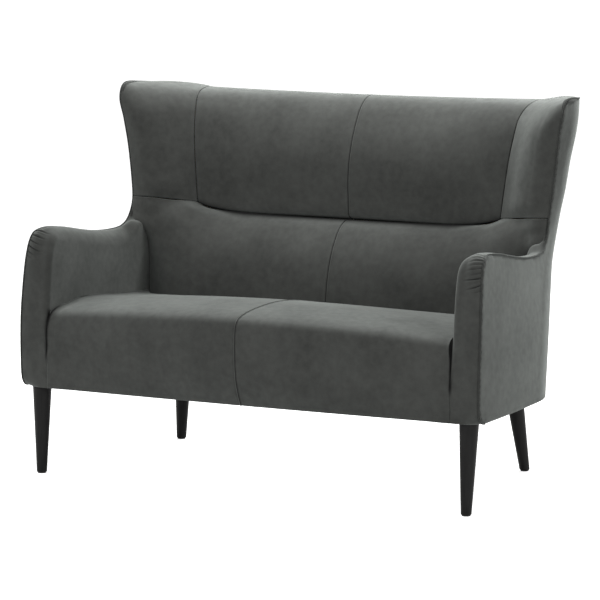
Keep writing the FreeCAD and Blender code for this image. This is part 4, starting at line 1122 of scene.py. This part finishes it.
dress(make_seat(), "velvet", "seat_pad", fill=0.8)
dress(make_lower_back(), "velvet", "lower_back_pad", fill=0.75)
dress(make_upper_back(), "velvet", "upper_back_pad", fill=0.75)
for side, word in SIDES:
    dress(make_arm(side, word), "velvet", word + "_arm_pad", fill=0.8)
    dress(make_wing(side, word), "velvet", word + "_wing_pad", fill=0.8)
    dress(make_side_panel(side, word), "velvet", word + "_side_panel", fill=0.9)
dress(make_back_panel(), "velvet", "back_panel", fill=0.9)

tree, keys = welt_tree()
line = PIPED_SEAM.copy()
line[:, 0] -= WELT_SUNK
line[:, 1] -= WELT_TUCK * ease(LEN[-1] - TUCK_FROM, LEN[-1] - TUCK_TO, LEN)
line = line[:-WELT_SHORT]
for side, word in SIDES:
    welt = make_welt(word + "_outline_welt", on_side(side, line), CORD_VELVET, tree, keys)
    dress(welt, "velvet", finish=CORD_VELVET)

dress(make_legs("front_legs_turned", (618.0, 0.0), (620.0, 10.5)), "leg_wood", "front_legs")
dress(make_legs("rear_legs_turned", (524.0, 602.0), (500.0, 573.0)), "leg_wood", "rear_legs")

for name, node in frame["nodes"].items():
    if SLOT_OF.get(name) in FINISH_OF:
        paint(node, FINISH_OF[SLOT_OF[name]])

# ---------------- floor, light and camera, in metres

FLOOR_GREY, FLOOR_SEEN, WORLD_LIGHT, WORLD_SEEN = 0.62, 0.74, 0.62, 1.0
# Lamps: name, place, aim, width and height, and power in watts
LAMPS = (
    ("key", (-2.2, -4.2, 3.6), (0, 0, 0.5), 3.0, 3.0, 200),
    ("top", (0.4, -1.9, 4.5), (0, 0, 0.6), 2.6, 2.6, 12),
    ("right", (4.6, -2.2, 2.4), (0, 0, 0.6), 2.6, 2.6, 98),
    ("rear", (0.6, 3.4, 2.3), (0, 0.35, 0.95), 2.0, 2.0, 175),
    ("over", (0.0, 0.45, 1.9), (0, 0.63, 0.97), 1.7, 0.5, 31.0),
)

scene = bpy.context.scene

# Pale floor that takes the shadow and reads as white to the camera
floor_mesh = bpy.data.meshes.new("floor")
floor_mesh.from_pydata([(-30, -30, 0), (30, -30, 0), (30, 60, 0), (-30, 60, 0)], [], [(0, 1, 2, 3)])
floor = new_object("floor", floor_mesh)
pale = bpy.data.materials.new("pale_floor")
pale.use_nodes = True
tree = pale.node_tree
shader = tree.nodes["Principled BSDF"]
feed(tree, shader, {"Base Color": (FLOOR_GREY, FLOOR_GREY, FLOOR_GREY, 1), "Roughness": 1.0,
                    "Specular IOR Level": 0.0})
rays = add_node(tree, "ShaderNodeLightPath").outputs
seen = calculate(tree, "MULTIPLY", rays["Is Camera Ray"], FLOOR_SEEN)
glow = add_node(tree, "ShaderNodeEmission", {"Strength": seen})
added = add_node(tree, "ShaderNodeAddShader", {0: shader, 1: glow})
feed(tree, tree.nodes["Material Output"], {"Surface": added})
floor_mesh.materials.append(pale)

# Even studio light, plain white where the camera sees it
world = bpy.data.worlds.new("studio")
scene.world = world
world.use_nodes = True
tree = world.node_tree
rays = add_node(tree, "ShaderNodeLightPath").outputs
either = calculate(tree, "MAXIMUM", rays["Is Camera Ray"], rays["Is Transmission Ray"])
level = add_node(tree, "ShaderNodeMapRange",
                 {"Value": either, "To Min": WORLD_LIGHT, "To Max": WORLD_SEEN})
feed(tree, tree.nodes["Background"], {"Color": (1, 1, 1, 1), "Strength": level})

for name, place, aim, width, height, power in LAMPS:
    data = bpy.data.lights.new(name, "AREA")
    data.shape = "SQUARE" if width == height else "RECTANGLE"
    data.size, data.size_y, data.energy = width, height, power
    lamp = new_object(name, data)
    lamp.location = place
    lamp.rotation_euler = (Vector(aim) - Vector(place)).to_track_quat("-Z", "Y").to_euler()
    lamp.visible_camera = name != "over"

camera_data = bpy.data.cameras.new("camera")
camera_data.lens = 192.06
camera_data.sensor_width = 36.0
camera_data.clip_end = 100.0
camera = new_object("camera", camera_data)
camera.location = (3.7699, -7.5565, 1.6636)
camera.rotation_euler = (math.radians(90 - 8.12), 0, math.radians(26.69))
scene.camera = camera
scene.view_settings.view_transform = "Standard"

bpy.context.view_layer.update()
